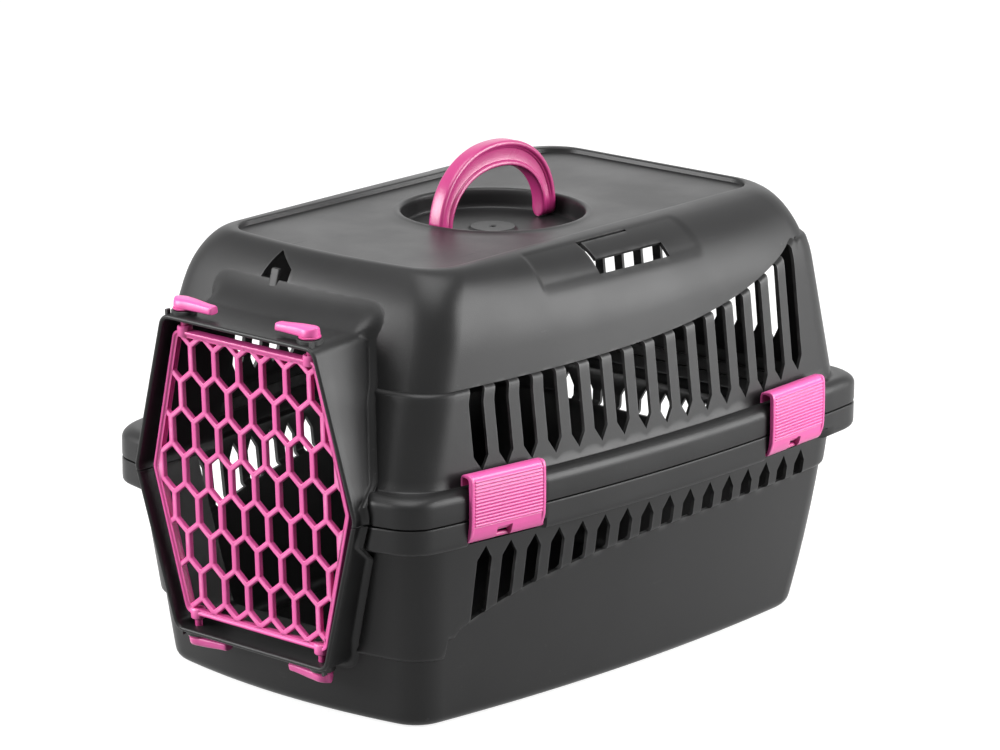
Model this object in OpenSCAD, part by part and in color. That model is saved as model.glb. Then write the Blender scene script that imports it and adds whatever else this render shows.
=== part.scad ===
/* [Body] */
// Length from the door collar to the rear rim
body_length = 453; // [420:1:500]
// Width over the rim at its widest
rim_width = 320; // [300:1:350]
// Height of the two shells, without the handle
body_height = 284; // [275:1:300]
// Height of the line where the two shells meet
parting_height = 138.5; // [132:0.5:145]
// Wall thickness of the shells
wall = 2.4; // [1.8:0.1:3]
// How far the rim's front corners stand behind the collar's top
rim_setback = 17; // [14:0.5:22]
// How much narrower each side is at the front of the rim
side_bow = 34; // [20:1:36]
// Distance of the widest place in front of the rear rim
widest_from_rear = 132; // [110:1:160]
// How far the middle of the roof's front line bulges forward
front_bow = 9; // [5:0.5:10]
// Lean of the side walls, in degrees
side_draft = 7.4; // [4:0.1:9]
// Lean of the front wall, in degrees
front_draft = 16.7; // [12:0.1:18]
// Lean of the rear wall, in degrees
rear_draft = 8.5; // [6:0.1:11]
// How far the base's rear wall sweeps in at the floor
rear_sweep = 18; // [12:1:24]
// Step between the thick and the thin zone of a wall
step_depth = 2.5; // [1.5:0.1:3]
// Gap between the two shells where they meet
seat_gap = 0.3; // [0.1:0.1:0.8]

/* [Rim] */
// Height of the upper shell's bead above the parting line
bead_height = 19.5; // [17:0.5:22]
// Depth of the base's flange below the parting line
flange_depth = 17; // [15:0.5:20]
// How far the bead stands out from the upper wall
bead_out = 9.5; // [8:0.5:11]
// How far the flange stands out from the lower wall
flange_out = 6.5; // [6:0.5:8]
// Corner radius of the rim, seen from above
rim_corner = 26; // [20:1:34]

/* [Roof] */
// Half width of the roof's crest line
crest_half_width = 91.5; // [85:0.5:98]
// Setback of the crest line's corners behind the front of the rim
crest_front = 63; // [58:0.5:67]
// Setback of the crest line before the rear of the rim
crest_rear = 36.5; // [33:0.5:42]
// Height of the side shoulder's curve
side_shoulder = 44; // [36:1:50]
// Height of the front edge's curve
front_shoulder = 28; // [20:1:34]
// Height of the rear edge's curve
rear_shoulder = 9; // [7:1:14]
// Depth of the roof panel below the crest
panel_sink = 3.5; // [2.5:0.1:5]
// Width of the crest around the panel
crest_band = 3; // [2.4:0.1:5]

/* [Vents] */
// Number of vent slots in each side of each shell
vent_count = 16; // [8:1:16]
// Distance from one slot to the next
vent_pitch = 20; // [18.5:0.5:20.5]
// Width of a slot
vent_width = 11.6; // [8:0.1:12.5]
// Distance of the first slot behind the front of the rim
vent_start = 66; // [62:0.5:72]
// Height of a slot's pointed end
vent_point = 9; // [5:0.5:12]
// Sideways place of the hook opening in the roof's front edge
hook_middle = -19; // [-24:0.5:24]
// Number of slots in the rear wall of each shell
rear_vent_count = 11; // [7:2:11]
// Distance from one rear slot to the next
rear_vent_pitch = 17.4; // [16.6:0.1:17.8]
// Width of a rear slot
rear_vent_width = 10.4; // [8:0.1:11]
// Solid wall between the bead and the slots above it
bead_land = 7; // [5:0.5:10]
// Solid wall between the flange and the slots below it
flange_land = 4; // [3:0.5:8]

/* [Door] */
// Room above and below the door frame inside the collar
door_room = 11; // [10:0.5:16]
// Width of the door at its top and bottom
door_narrow = 120; // [112:1:124]
// Width of the door across its two side points
door_wide = 167; // [158:1:170]
// Thickness of the door frame
door_frame_depth = 7.5; // [6:0.1:9]
// Width of the door's border
door_border = 4.4; // [3.6:0.1:7]
// Thickness of the grille
grille_depth = 3.4; // [2.6:0.1:5.5]
// Width of a grille bar
bar_width = 4.2; // [2.6:0.1:4.6]
// Width of one grille cell with its bar
cell_width = 20; // [18:0.5:24]
// Height from one row of cells to the next
row_height = 25; // [22:0.5:28]
// Height of the slanted part of a cell
cell_point = 8; // [6:0.1:10]
// Lean of the door and collar, in degrees
front_lean = 2.8; // [2:0.1:5]

/* [Collar] */
// Width of the collar's outside at its top and bottom
collar_narrow = 129; // [128:1:134]
// Width of the collar's outside across its side points
collar_wide = 188; // [186:1:192]
// Wall of the collar
collar_wall = 3; // [2.6:0.1:3.4]
// How far the door lies behind the collar's front edge
door_recess = 6.4; // [4:0.1:9]
// Height of the roof above the collar
roof_over_collar = 36.5; // [34:0.5:40]
// Height of the collar above the floor
sill_height = 37.5; // [36:0.5:40]

/* [Latches] */
// Distance of a latch pin from the corner of the door
pin_inset = 7; // [5:0.5:10]
// Radius of a latch pin
pin_radius = 2.5; // [2:0.1:3]
// Thickness of the pin's flat end
pin_flat = 3; // [2:0.1:3.6]
// Radius of the boss on the door for a pin
door_boss_radius = 4.9; // [4.4:0.1:5.6]
// Radius of a latch's hub
hub_radius = 7; // [6:0.1:8]
// Length of a latch's lever from its pin
lever_length = 27; // [20:0.5:32]
// Height of a latch's lever
lever_height = 7; // [5:0.5:9]
// Width of a latch's lever at its hub
lever_root = 12; // [9:0.5:13]
// Width of a latch's lever at its tip
lever_tip = 8; // [6:0.5:9]
// Height of the ring under a latch's hub
ring_height = 2.6; // [1.5:0.1:3.5]

/* [Clips] */
// Width of a clip
clip_width = 60; // [50:0.5:64]
// Thickness of a clip's plate
clip_plate = 3.2; // [2.6:0.1:4]
// Distance of the front clips' middle behind the front of the rim
clip_front = 74.5; // [70:0.5:84]
// Distance of the rear clips' middle before the rear of the rim
clip_rear = 88; // [80:0.5:96]
// Radius of a clip's hinge rod
rod_radius = 1.6; // [1.3:0.1:1.8]
// Height of a clip's rolled top above the bead
hook_rise = 9.5; // [8:0.5:12]
// Number of grip ribs on a clip
rib_count = 14; // [6:1:16]
// Height of a grip rib
rib_height = 0.9; // [0.4:0.1:1.2]

/* [Handle] */
// Radius of the round dish that takes the handle
dish_radius = 60; // [56:0.5:64]
// Depth of the dish below the roof panel
dish_depth = 12.5; // [12:0.5:16]
// Distance of the dish's middle before the rear rim
dish_from_rear = 209; // [200:1:218]
// Width of the handle's bar, seen from above
handle_bar = 11.5; // [9:0.5:12]
// Height of the handle above its pivot
handle_height = 52.5; // [46:0.5:54]
// Thickness of the handle's arch at its top
arch_top = 17; // [12:0.5:19]
// Thickness of the handle's arch at its feet
arch_foot = 13; // [10:0.5:15]
// Depth of the groove in each side of the handle
groove_depth = 2.6; // [1:0.1:3.5]
// Radius of the handle's pivot pins
pivot_radius = 2.6; // [2:0.1:3.2]

/* [Fits] */
// Running gap round a pin, rod or pivot
running_gap = 0.3; // [0.2:0.05:0.5]
// Gap between a moving piece and a face beside it
side_gap = 0.4; // [0.3:0.05:0.8]

/* [Hidden] */
shell_grey = [0.17, 0.17, 0.18];
pink = [0.86, 0.2, 0.5];
deep_pink = [0.75, 0.15, 0.42];
$fn = 48;
side_steps = 8;
front_steps = 4;
corner_steps = 5;
far = 300;

rear_y = body_length / 2;
rim_front = -body_length / 2 + rim_setback;
widest_y = rear_y - widest_from_rear;
side_rate = side_bow / pow(widest_y - rim_front, 2);
front_rate = front_bow / pow(crest_half_width, 2);
half_rim = rim_width / 2;
bead_top = parting_height + bead_height;
flange_low = parting_height - flange_depth;
panel_z = body_height - panel_sink;
collar_height = body_height - roof_over_collar - sill_height;
door_height = collar_height - 2 * door_room;
door_middle = sill_height + collar_height / 2;
pin_from_middle = door_narrow / 2 - pin_inset;

// Half width of the rim at a place along the body
function rim_x(y) = half_rim - side_rate * pow(y - widest_y, 2);
// How far the side is turned towards the front there, in degrees
function bow_angle(y) = atan(2 * side_rate * (widest_y - y));

function arc(centre, r, from, to, n) =
  [for (i = [0:n]) let (a = from + (to - from) * i / n) centre + r * [cos(a), sin(a)]];

// One level of a shell: half width, front corners, rear, corner radius and share of the side bow
function section(half, front, rear, r, share) =
  let (
    k = side_rate * share,
    turn_front = atan(2 * k * (widest_y - front - r)),
    turn_rear = atan(2 * k * (rear - r - widest_y)),
    start_y = front + r * (1 - sin(turn_front)),
    end_y = rear - r * (1 - sin(turn_rear)),
    side = function (y) half - k * pow(y - widest_y, 2),
    front_centre = [side(start_y) - r * cos(turn_front), front + r],
    rear_centre = [side(end_y) - r * cos(turn_rear), rear - r],
    bulge_turn = atan(2 * front_rate * front_centre[0]),
    bulge_x = front_centre[0] + r * sin(bulge_turn),
    bulge_y = front + r * (1 - cos(bulge_turn)),
    right = concat(
      [for (i = [0:front_steps - 1])
        let (x = bulge_x * (i + 0.5) / front_steps)
        [x, bulge_y - front_rate * (pow(bulge_x, 2) - pow(x, 2))]],
      arc(front_centre, r, bulge_turn - 90, -turn_front, corner_steps),
      [for (i = [1:side_steps - 1])
        let (y = start_y + (end_y - start_y) * i / side_steps) [side(y), y]],
      arc(rear_centre, r, turn_rear, 90, corner_steps)
    ),
    last = len(right) - 1
  )
  concat(right, [for (i = [last:-1:0]) [-right[i][0], right[i][1]]]);

// Closed solid through a list of [height, section] levels
module loft(levels) {
  n = len(levels[0][1]);
  rings = len(levels);
  points = [for (level = levels) for (p = level[1]) [p[0], p[1], level[0]]];
  faces = concat(
    [[for (i = [0:n - 1]) i]],
    [for (j = [0:rings - 2]) for (i = [0:n - 1])
      let (a = j * n + i, b = j * n + (i + 1) % n) each [[a, a + n, b], [b, a + n, b + n]]],
    [[for (i = [n - 1:-1:0]) (rings - 1) * n + i]]
  );
  polyhedron(points, faces);
}

// Upper shell: leaning walls that turn through a quarter curve to the crest
front_bead_out = bead_out + 1;
rear_bead_out = bead_out + 3;
mid_wall_z = 200;
function round_share(z, start, top) = sqrt(max(0, 1 - pow(max(0, z - start) / (top - start), 2)));
function upper_edge(z, foot, draft, crest, curve, top) =
  let (
    wall_at = foot - (z - bead_top) * tan(draft)
  )
  crest + (wall_at - crest) * round_share(z, top - curve, top);

function upper_section(z, grow, top) =
  let (
    side = upper_edge(z, half_rim - bead_out - step_depth, side_draft,
      crest_half_width, side_shoulder, top),
    front = upper_edge(z, -rim_front - front_bead_out - step_depth, front_draft,
      -rim_front - crest_front, front_shoulder, top),
    rear = upper_edge(z, rear_y - rear_bead_out - step_depth, rear_draft,
      rear_y - crest_rear, rear_shoulder, top)
  )
  section(side + grow, -front - grow, rear + grow, rim_corner + grow,
    round_share(z, top - side_shoulder, top));

function shoulder_levels(top) = [for (a = [0:15:90]) top - side_shoulder * (1 - sin(a))];
function wall_levels(low, top) = concat([low, mid_wall_z], shoulder_levels(top));
rim_sharper = 2;
function rim_section(inset) =
  section(half_rim - inset, rim_front + inset, rear_y - inset, rim_corner - rim_sharper, 1);

upper_outer = [for (z = wall_levels(bead_top - 6, body_height)) [z, upper_section(z, 0, body_height)]];
inner_top = panel_z - wall;
upper_inner = [for (z = wall_levels(parting_height - 1, inner_top))
  [z, upper_section(z, -wall, inner_top)]];
bead_crown = 7;
bead_turns = [0, 30, 60, 80];
upper_thick = concat(
  [[parting_height + seat_gap, rim_section(0)]],
  [for (a = bead_turns)
    [bead_top - bead_crown * (1 - sin(a)), rim_section(bead_crown * (1 - cos(a)))]],
  [for (z = wall_levels(bead_top, body_height)) if (z < body_height - 20)
    [z, upper_section(z, step_depth, body_height)]]
);

// Base: leaning walls below the flange, with a small curve at the floor's edge
base_front_in = 11.5;
base_rear_in = 19.5;
base_front_draft = 6.4;
foot_curve = 7;
function base_section(z, grow) =
  let (drop = flange_low - z)
  section(
    half_rim - flange_out - step_depth - drop * tan(side_draft) + grow,
    rim_front + base_front_in + step_depth + drop * tan(base_front_draft) - grow,
    rear_y - base_rear_in - step_depth - rear_sweep * pow(drop / flange_low, 2) + grow,
    rim_corner + grow,
    1
  );
wall_heights = [25, 50, 80];
base_thin = concat(
  [for (a = [0:30:90]) let (z = foot_curve * (1 - cos(a)))
    [z, base_section(z, -foot_curve * (1 - sin(a)))]],
  [for (z = concat(wall_heights, [flange_low + 2])) [z, base_section(z, 0)]]
);
flange_edge = 2;
base_thick = concat(
  [for (z = concat([34], wall_heights[1], wall_heights[2], [flange_low])) [z, base_section(z, step_depth)]],
  [
    [flange_low, rim_section(flange_edge)],
    [flange_low + flange_edge, rim_section(0)],
    [parting_height, rim_section(0)]
  ]
);
base_inner = concat(
  [[wall, base_section(wall, -wall - foot_curve / 2)]],
  [for (z = concat([wall + foot_curve], wall_heights, [parting_height + 1]))
    [z, base_section(z, -wall)]]
);

// Heights of the step lines along the body
upper_step_front = body_height - 68.5;
upper_step_climb = 33;
upper_step_top = body_height - 28;
lower_step_rear = flange_low - 22.5;
lower_step_fall = 30;
lower_step_low = 46;
step_bend = 72;
step_from_rear = 74;
function vent_y(i) = rim_front + vent_start + vent_pitch * i;
function upper_step(y) =
  min(upper_step_front + upper_step_climb * exp((y - rear_y + step_from_rear) / step_bend), upper_step_top);
function lower_step(y) =
  max(lower_step_rear - lower_step_fall * exp((vent_y(0) - y) / step_bend), lower_step_low);

// Prism across the whole body over a side-view outline
module across(outline) {
  rotate([90, 0, 90]) translate([0, 0, -far]) linear_extrude(2 * far) polygon(outline);
}
step_places = [for (i = [0:22]) rim_front + body_length * (i - 1) / 20];
module upper_step_zone() {
  across(concat(
    [[-far, 0], [far, 0]],
    [for (i = [22:-1:0]) [step_places[i], upper_step(step_places[i])]],
    [[-far, upper_step(-far)]]
  ));
}
module lower_step_zone() {
  across(concat(
    [[far, far], [-far, far], [-far, lower_step(-far)]],
    [for (y = step_places) [y, lower_step(y)]],
    [[far, lower_step(far)]]
  ));
}

// Slots with one pointed end, cut through both side walls up to the step line
climb_from = 13;
vent_climb = 3;
vent_slant = 1;
module upper_vents() {
  for (i = [0:vent_count - 1]) {
    y = vent_y(i);
    left = y - vent_width / 2;
    right = y + vent_width / 2;
    low = bead_top + bead_land + max(0, i - climb_from) * vent_climb;
    high = upper_step(y) + vent_slant;
    across([
      [y, low], [right, low + vent_point], [right, high + vent_slant],
      [left, high], [left, low + vent_point]
    ]);
  }
}
module lower_vents() {
  for (i = [0:vent_count - 1]) {
    y = vent_y(i);
    left = y - vent_width / 2;
    right = y + vent_width / 2;
    high = flange_low - flange_land;
    low = lower_step(y) - vent_slant;
    across([
      [y, high], [left, high - vent_point], [left, low - vent_slant],
      [right, low + vent_slant], [right, high - vent_point]
    ]);
  }
}

// The rear wall's own slots, as high as the last ones in the sides. They come to a point at the rim and are flat at the other end
module rear_vents(rim_end, flat_end) {
  towards = flat_end > rim_end ? vent_point : -vent_point;
  for (i = [0:rear_vent_count - 1]) {
    x = (i - (rear_vent_count - 1) / 2) * rear_vent_pitch;
    left = x - rear_vent_width / 2;
    right = x + rear_vent_width / 2;
    translate([0, far, 0]) rotate([90, 0, 0]) linear_extrude(far - rear_y + 70)
      polygon([
        [x, rim_end], [right, rim_end + towards], [right, flat_end],
        [left, flat_end], [left, rim_end + towards]
      ]);
  }
}

// Everything about the door is built upright and leaned here
door_y = -rear_y + door_recess + (collar_height / 2) * sin(front_lean);
module leaned() {
  translate([0, door_y, door_middle]) rotate([front_lean, 0, 0]) children();
}

function unit(v) = v / norm(v);
// Arc that rounds the corner b between the corners a and c
function corner_arc(a, b, c, r, n) =
  let (
    u = unit(a - b),
    v = unit(c - b),
    half = acos(u * v) / 2,
    centre = b + unit(u + v) * r / sin(half),
    d1 = b + u * r / tan(half) - centre,
    d2 = b + v * r / tan(half) - centre,
    a1 = atan2(d1[1], d1[0]),
    sweep = (atan2(d2[1], d2[0]) - a1 + 540) % 360 - 180
  )
  arc(centre, r, a1, a1 + sweep, n);
function rounded(p, r, n) =
  let (m = len(p)) [for (i = [0:m - 1]) each corner_arc(p[(i + m - 1) % m], p[i], p[(i + 1) % m], r, n)];

// Six-cornered outline of the door and collar, drawn in by an inset
function hexagon(narrow, wide, high, inset) =
  let (
    slant = atan2((wide - narrow) / 2, high / 2),
    tip = wide / 2 - inset / cos(slant),
    flat_z = high / 2 - inset,
    end = tip - flat_z * tan(slant)
  )
  [[end, flat_z], [tip, 0], [end, -flat_z], [-end, -flat_z], [-tip, 0], [-end, flat_z]];

collar_corner = 9;
upper_reach = 66;
lower_reach = 46;
module collar_prism(inset, from, to) {
  leaned() rotate([90, 0, 0]) translate([0, 0, -to]) linear_extrude(to - from)
    polygon(rounded(hexagon(collar_narrow, collar_wide, collar_height, inset),
      collar_corner - inset, 4));
}
hollow_lead = 20;
module collar_hollow() {
  collar_prism(collar_wall, -door_recess - hollow_lead, upper_reach + wall);
}
module collar_above() {
  intersection() {
    collar_prism(0, -door_recess, upper_reach);
    translate([-far / 2, -far, parting_height + seat_gap]) cube(far);
  }
}
module collar_below() {
  intersection() {
    collar_prism(0, -door_recess, lower_reach);
    translate([-far / 2, -far, parting_height - far]) cube(far);
  }
}

ledge = collar_height / 2;
ring_radius = hub_radius + 1.5;
pin_y = door_frame_depth / 2;
boss_low = door_height / 2 - door_border - 0.5;
boss_top = door_height / 2 + 3;
boss_floor = boss_low + 1;

// Puts a latch's parts at one of the four places
module at_latch(side, up) {
  leaned() translate([side * pin_from_middle, pin_y, 0])
    mirror([side > 0 ? 1 : 0, 0, 0]) mirror([0, 0, up > 0 ? 0 : 1]) children();
}
module latch_rings(up) {
  for (side = [-1, 1]) at_latch(side, up)
    translate([0, 0, ledge - collar_wall / 2])
      cylinder(r = ring_radius, h = ring_height + collar_wall / 2);
}
module latch_holes(up) {
  for (side = [-1, 1]) at_latch(side, up)
    translate([0, 0, ledge - 2 * collar_wall])
      cylinder(r = pin_radius + running_gap, h = 4 * collar_wall);
}

// Sides of the body, seen square on at a clip
module on_side(y) {
  translate([rim_x(y), y, 0]) rotate([0, 0, -bow_angle(y)]) children();
}
module both_sides() {
  children();
  mirror([1, 0, 0]) children();
}
clip_places = [rim_front + clip_front, rear_y - clip_rear];
clip_back = 0.6;
rod_inset = 3.6;
rod_z = flange_low + 3.5;
rod_end = 2.8;
pocket_width = clip_width + 2 * side_gap;
pocket_low = flange_low - 3;
pocket_out = 20;
module clip_pockets() {
  both_sides() for (y = clip_places) on_side(y)
    translate([-clip_back - side_gap, -pocket_width / 2, pocket_low])
      cube([pocket_out, pocket_width, bead_top - pocket_low]);
}
module rod_room() {
  both_sides() for (y = clip_places) on_side(y) {
    translate([-rod_inset - rod_radius - side_gap, -pocket_width / 2, pocket_low])
      cube([pocket_out, pocket_width, rod_z + rod_radius + side_gap - pocket_low]);
    translate([-rod_inset, pocket_width / 2 + rod_end, rod_z]) rotate([90, 0, 0])
      cylinder(r = rod_radius + running_gap, h = pocket_width + 2 * rod_end);
  }
}

dish_y = rear_y - dish_from_rear;
dish_floor = panel_z - dish_depth;
pivot_z = dish_floor + handle_bar / 2 + 0.5;
pivot_reach = 4;
cheek_width = 16;
pot_height = dish_depth + wall - 1;
module roof_cut() {
  loft([for (z = [panel_z, body_height + 1])
    [z, section(crest_half_width - crest_band, rim_front + crest_front + crest_band,
      rear_y - crest_rear - crest_band, rim_corner - crest_band, 0)]]);
}
module dish_pot() {
  translate([0, dish_y, dish_floor - wall]) {
    cylinder(r = dish_radius + wall, h = pot_height);
    for (turn = [0, 180]) rotate([0, 0, turn])
      translate([-cheek_width / 2, dish_radius - 1, 0])
        cube([cheek_width, pivot_reach + wall + 2, pot_height]);
  }
}
dish_boss_radius = 15;
dish_boss_rise = 2;
dish_hole_radius = 1.8;
module dish_hollow() {
  difference() {
    translate([0, dish_y, dish_floor]) cylinder(r = dish_radius, h = 2 * dish_depth);
    translate([0, dish_y, dish_floor - dish_boss_rise])
      cylinder(r = dish_boss_radius, h = 2 * dish_boss_rise);
  }
  translate([0, dish_y, dish_floor - 2 * wall]) cylinder(r = dish_hole_radius, h = 2 * dish_depth);
  translate([0, dish_y - dish_radius - pivot_reach, pivot_z]) rotate([-90, 0, 0])
    cylinder(r = pivot_radius + running_gap, h = 2 * (dish_radius + pivot_reach));
}

// Openings for a shoulder strap in each side, with a slanted slot above the front end
strap_low = body_height - 19;
strap_window = 8;
strap_slot = 16;
strap_from = 96;
strap_outline = [
  [-24, 0], [44, 0], [41, strap_window], [-9, strap_window], [-15, strap_slot],
  [-20, strap_slot], [-16, strap_window], [-21, strap_window - 2]
];
module strap_windows() {
  both_sides() translate([strap_from, 0, strap_low]) rotate([90, 0, 90])
    linear_extrude(far) polygon(strap_outline);
}
hook_low = body_height - 23;
hook_outline = [[-13, 0], [11.5, -2], [10.5, 12], [-5, 20], [-10, 14]];
tongue = [6, 2.4, 15];
module hook_opening() {
  translate([hook_middle, rim_front + crest_front - front_bow, hook_low]) rotate([90, 0, 0])
    linear_extrude(far / 4) polygon(rounded(hook_outline, 1.5, 3));
}
hook_wall_y = upper_section(hook_low, 0, body_height)[0][1];
tongue_root = 3;
module hook_tongue() {
  translate([hook_middle - tongue[0] / 2, hook_wall_y, hook_low - tongue_root]) rotate([-front_draft, 0, 0]) cube(tongue);
}

module upper_shell() {
  color(shell_grey) difference() {
    union() {
      difference() {
        union() {
          loft(upper_outer);
          intersection() {
            loft(upper_thick);
            upper_step_zone();
          }
          collar_above();
          latch_rings(1);
        }
        loft(upper_inner);
        collar_hollow();
        roof_cut();
        upper_vents();
        rear_vents(bead_top + bead_land + (vent_count - 1 - climb_from) * vent_climb, upper_step(rear_y));
        strap_windows();
        hook_opening();
        clip_pockets();
      }
      dish_pot();
      hook_tongue();
    }
    dish_hollow();
    latch_holes(1);
  }
}

module base_shell() {
  color(shell_grey) difference() {
    union() {
      loft(base_thin);
      intersection() {
        loft(base_thick);
        lower_step_zone();
      }
      collar_below();
      latch_rings(-1);
    }
    loft(base_inner);
    collar_hollow();
    lower_vents();
    rear_vents(flange_low - flange_land, lower_step(rear_y));
    clip_pockets();
    rod_room();
    latch_holes(-1);
  }
}

door_corner = 6;
module door_outline(inset) {
  polygon(rounded(hexagon(door_narrow, door_wide, door_height, inset), door_corner - inset, 3));
}
module door_opening() {
  polygon(rounded(hexagon(door_narrow, door_wide, door_height, door_border), door_corner / 6, 3));
}
module door_cell() {
  half = (cell_width - bar_width) / 2;
  upright = (row_height - cell_point - bar_width * 0.15) / 2;
  high = upright + cell_point * 2 * half / cell_width;
  polygon([[half, upright], [0, high], [-half, upright], [-half, -upright], [0, -high], [half, -upright]]);
}
module grille_cells() {
  rows = ceil(door_height / row_height / 2);
  columns = ceil(door_wide / cell_width / 2);
  for (row = [-rows:rows]) for (column = [-columns:columns])
    translate([(column + (row % 2 == 0 ? 0 : 0.5)) * cell_width, row * row_height]) door_cell();
}
module door_bosses() {
  for (side = [-1, 1]) for (up = [-1, 1])
    translate([side * pin_from_middle, pin_y, 0]) mirror([0, 0, up > 0 ? 0 : 1]) children();
}
// The boss holes open towards the rear, so a pin turned edge-on can leave them
module door() {
  slit = pin_flat + 2 * running_gap;
  color(pink) leaned() difference() {
    union() {
      translate([0, door_frame_depth, 0]) rotate([90, 0, 0]) linear_extrude(door_frame_depth)
        difference() {
          door_outline(0);
          door_opening();
        }
      translate([0, grille_depth + 1, 0]) rotate([90, 0, 0]) linear_extrude(grille_depth)
        difference() {
          door_outline(1);
          intersection() {
            door_opening();
            grille_cells();
          }
        }
      door_bosses() translate([0, 0, boss_low]) cylinder(r = door_boss_radius, h = boss_top - boss_low);
    }
    door_bosses() translate([0, 0, boss_floor]) {
      cylinder(r = pin_radius + running_gap, h = boss_top);
      translate([-slit / 2, 0, 0]) cube([slit, 2 * door_boss_radius, boss_top]);
    }
  }
}

// A latch: hub and lever over the ledge, with a pin that ends flat inside the door's boss
lever_bevel = 2;
flat_from = boss_top + 1;
module latch(side, up) {
  hub_z = ledge + ring_height + seat_gap;
  pin_end = boss_floor + side_gap;
  root = lever_root / 2;
  tip = lever_tip / 2;
  color(pink) at_latch(side, up) {
    translate([0, 0, hub_z]) cylinder(r = hub_radius, h = lever_height);
    translate([0, 0, hub_z]) linear_extrude(lever_height - 0.8)
      polygon([[0, -root], [lever_length - lever_bevel, -tip], [lever_length, lever_bevel - tip],
        [lever_length, tip - lever_bevel / 2], [lever_length - lever_bevel / 2, tip], [0, root]]);
    translate([0, 0, flat_from]) cylinder(r = pin_radius, h = hub_z - flat_from + 1);
    intersection() {
      translate([0, 0, pin_end]) cylinder(r = pin_radius, h = flat_from + 1 - pin_end);
      translate([-far, -pin_flat / 2, 0]) cube([2 * far, pin_flat, far]);
    }
  }
}

// A clip: ribbed plate outside the rim, hook over the bead, rod under the flange
clip_low = rod_z - 1.4;
clip_high = bead_top + hook_rise;
clip_face = clip_plate - clip_back;
roll_radius = 5;
roll_wall = 3.2;
hook_tip = -bead_out + 1.5;
hook_gap = 1.2;
rib_thick = 1.4;
rib_margin = 3;
module clip() {
  translate([0, clip_width / 2, 0]) rotate([90, 0, 0]) linear_extrude(clip_width)
    polygon(concat(
      [[-clip_back, clip_low], [clip_face - 1, clip_low], [clip_face, clip_low + clip_width / 5]],
      arc([clip_face - roll_radius, clip_high - roll_radius], roll_radius, 0, 90, 4),
      [[hook_tip + 1.5, clip_high], [hook_tip, clip_high - 1.5], [hook_tip, bead_top + hook_gap],
        [hook_tip + 2, bead_top + hook_gap], [hook_tip + 2.5, clip_high - roll_wall],
        [clip_face - roll_radius, clip_high - roll_wall], [-clip_back, clip_high - roll_wall * 2]]
    ));
  rib_zone = (clip_high - clip_low) * 0.72;
  for (i = [0:rib_count - 1])
    translate([clip_face - 0.4, rib_margin - clip_width / 2, clip_high - roll_radius * 1.6 - rib_zone * i / rib_count])
      cube([rib_height + 0.4, clip_width - 2 * rib_margin, rib_thick]);
  rod_length = pocket_width + 2 * rod_end - 2 * side_gap;
  translate([-rod_inset, rod_length / 2, rod_z]) rotate([90, 0, 0])
    cylinder(r = rod_radius, h = rod_length);
  translate([-rod_inset, -clip_width / 2, rod_z - 1.2])
    cube([rod_inset - clip_back + 1, clip_width, 2.4]);
}
module clip_at(side, place) {
  color(pink) mirror([side > 0 ? 0 : 1, 0, 0]) on_side(clip_places[place]) clip();
}

// Handle: an arch over two feet that turn on pivots in the dish's wall
arch_reach = dish_radius - 1.5;
arch_power = 2.15;
arch_steps = 24;
groove_margin = 3;
groove_low = 8;
pivot_length = 8;
module arch_outline(inset) {
  curve = function (reach, rise) [for (i = [0:arch_steps]) let (t = 180 * i / arch_steps)
    [reach * sign(cos(t)) * pow(abs(cos(t)), 2 / arch_power), rise * pow(sin(t), 2 / arch_power)]];
  outer = curve(arch_reach - inset, handle_height - inset);
  inner = curve(arch_reach - arch_foot + inset, handle_height - arch_top + inset);
  polygon(concat(outer, [for (i = [arch_steps:-1:0]) inner[i]]));
}
module arch_plate(inset, x, thick) {
  translate([x, 0, 0]) rotate([90, 0, 90]) linear_extrude(thick) arch_outline(inset);
}
module carry_handle() {
  half_bar = handle_bar / 2;
  color(deep_pink) translate([0, dish_y, pivot_z]) {
    difference() {
      arch_plate(0, -half_bar, handle_bar);
      intersection() {
        union() {
          arch_plate(groove_margin, half_bar - groove_depth, groove_depth + 1);
          arch_plate(groove_margin, -half_bar - 1, groove_depth + 1);
        }
        translate([-far, -far, groove_low]) cube(2 * far);
      }
    }
    for (side = [-1, 1]) translate([0, side * (arch_reach - arch_foot / 2), 0]) rotate([90, 0, 0])
      cylinder(r = half_bar, h = arch_foot, center = true);
    for (side = [-1, 1]) translate([0, side * (arch_reach + 1), 0]) rotate([90, 0, 0])
      cylinder(r = pivot_radius, h = pivot_length, center = true);
  }
}

base_shell();
upper_shell();
door();
latch(-1, 1);  // latch_top_left
latch(1, 1);  // latch_top_right
latch(-1, -1);  // latch_bottom_left
latch(1, -1);  // latch_bottom_right
clip_at(1, 0);  // clip_front_right
clip_at(1, 1);  // clip_rear_right
clip_at(-1, 0);  // clip_front_left
clip_at(-1, 1);  // clip_rear_left
carry_handle();
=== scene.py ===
# %% [markdown]
# A pet carrier in two moulded shells, with a pink grille door, latches, clips and a folding handle. The
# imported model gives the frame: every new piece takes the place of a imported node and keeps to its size.
# Lengths in the shape functions are millimetres, because the drawing is in millimetres, and they turn into
# metres when a mesh is made.

# %% Load the frame
import math

import bpy
import numpy as np
from mathutils import Matrix, Vector

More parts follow.
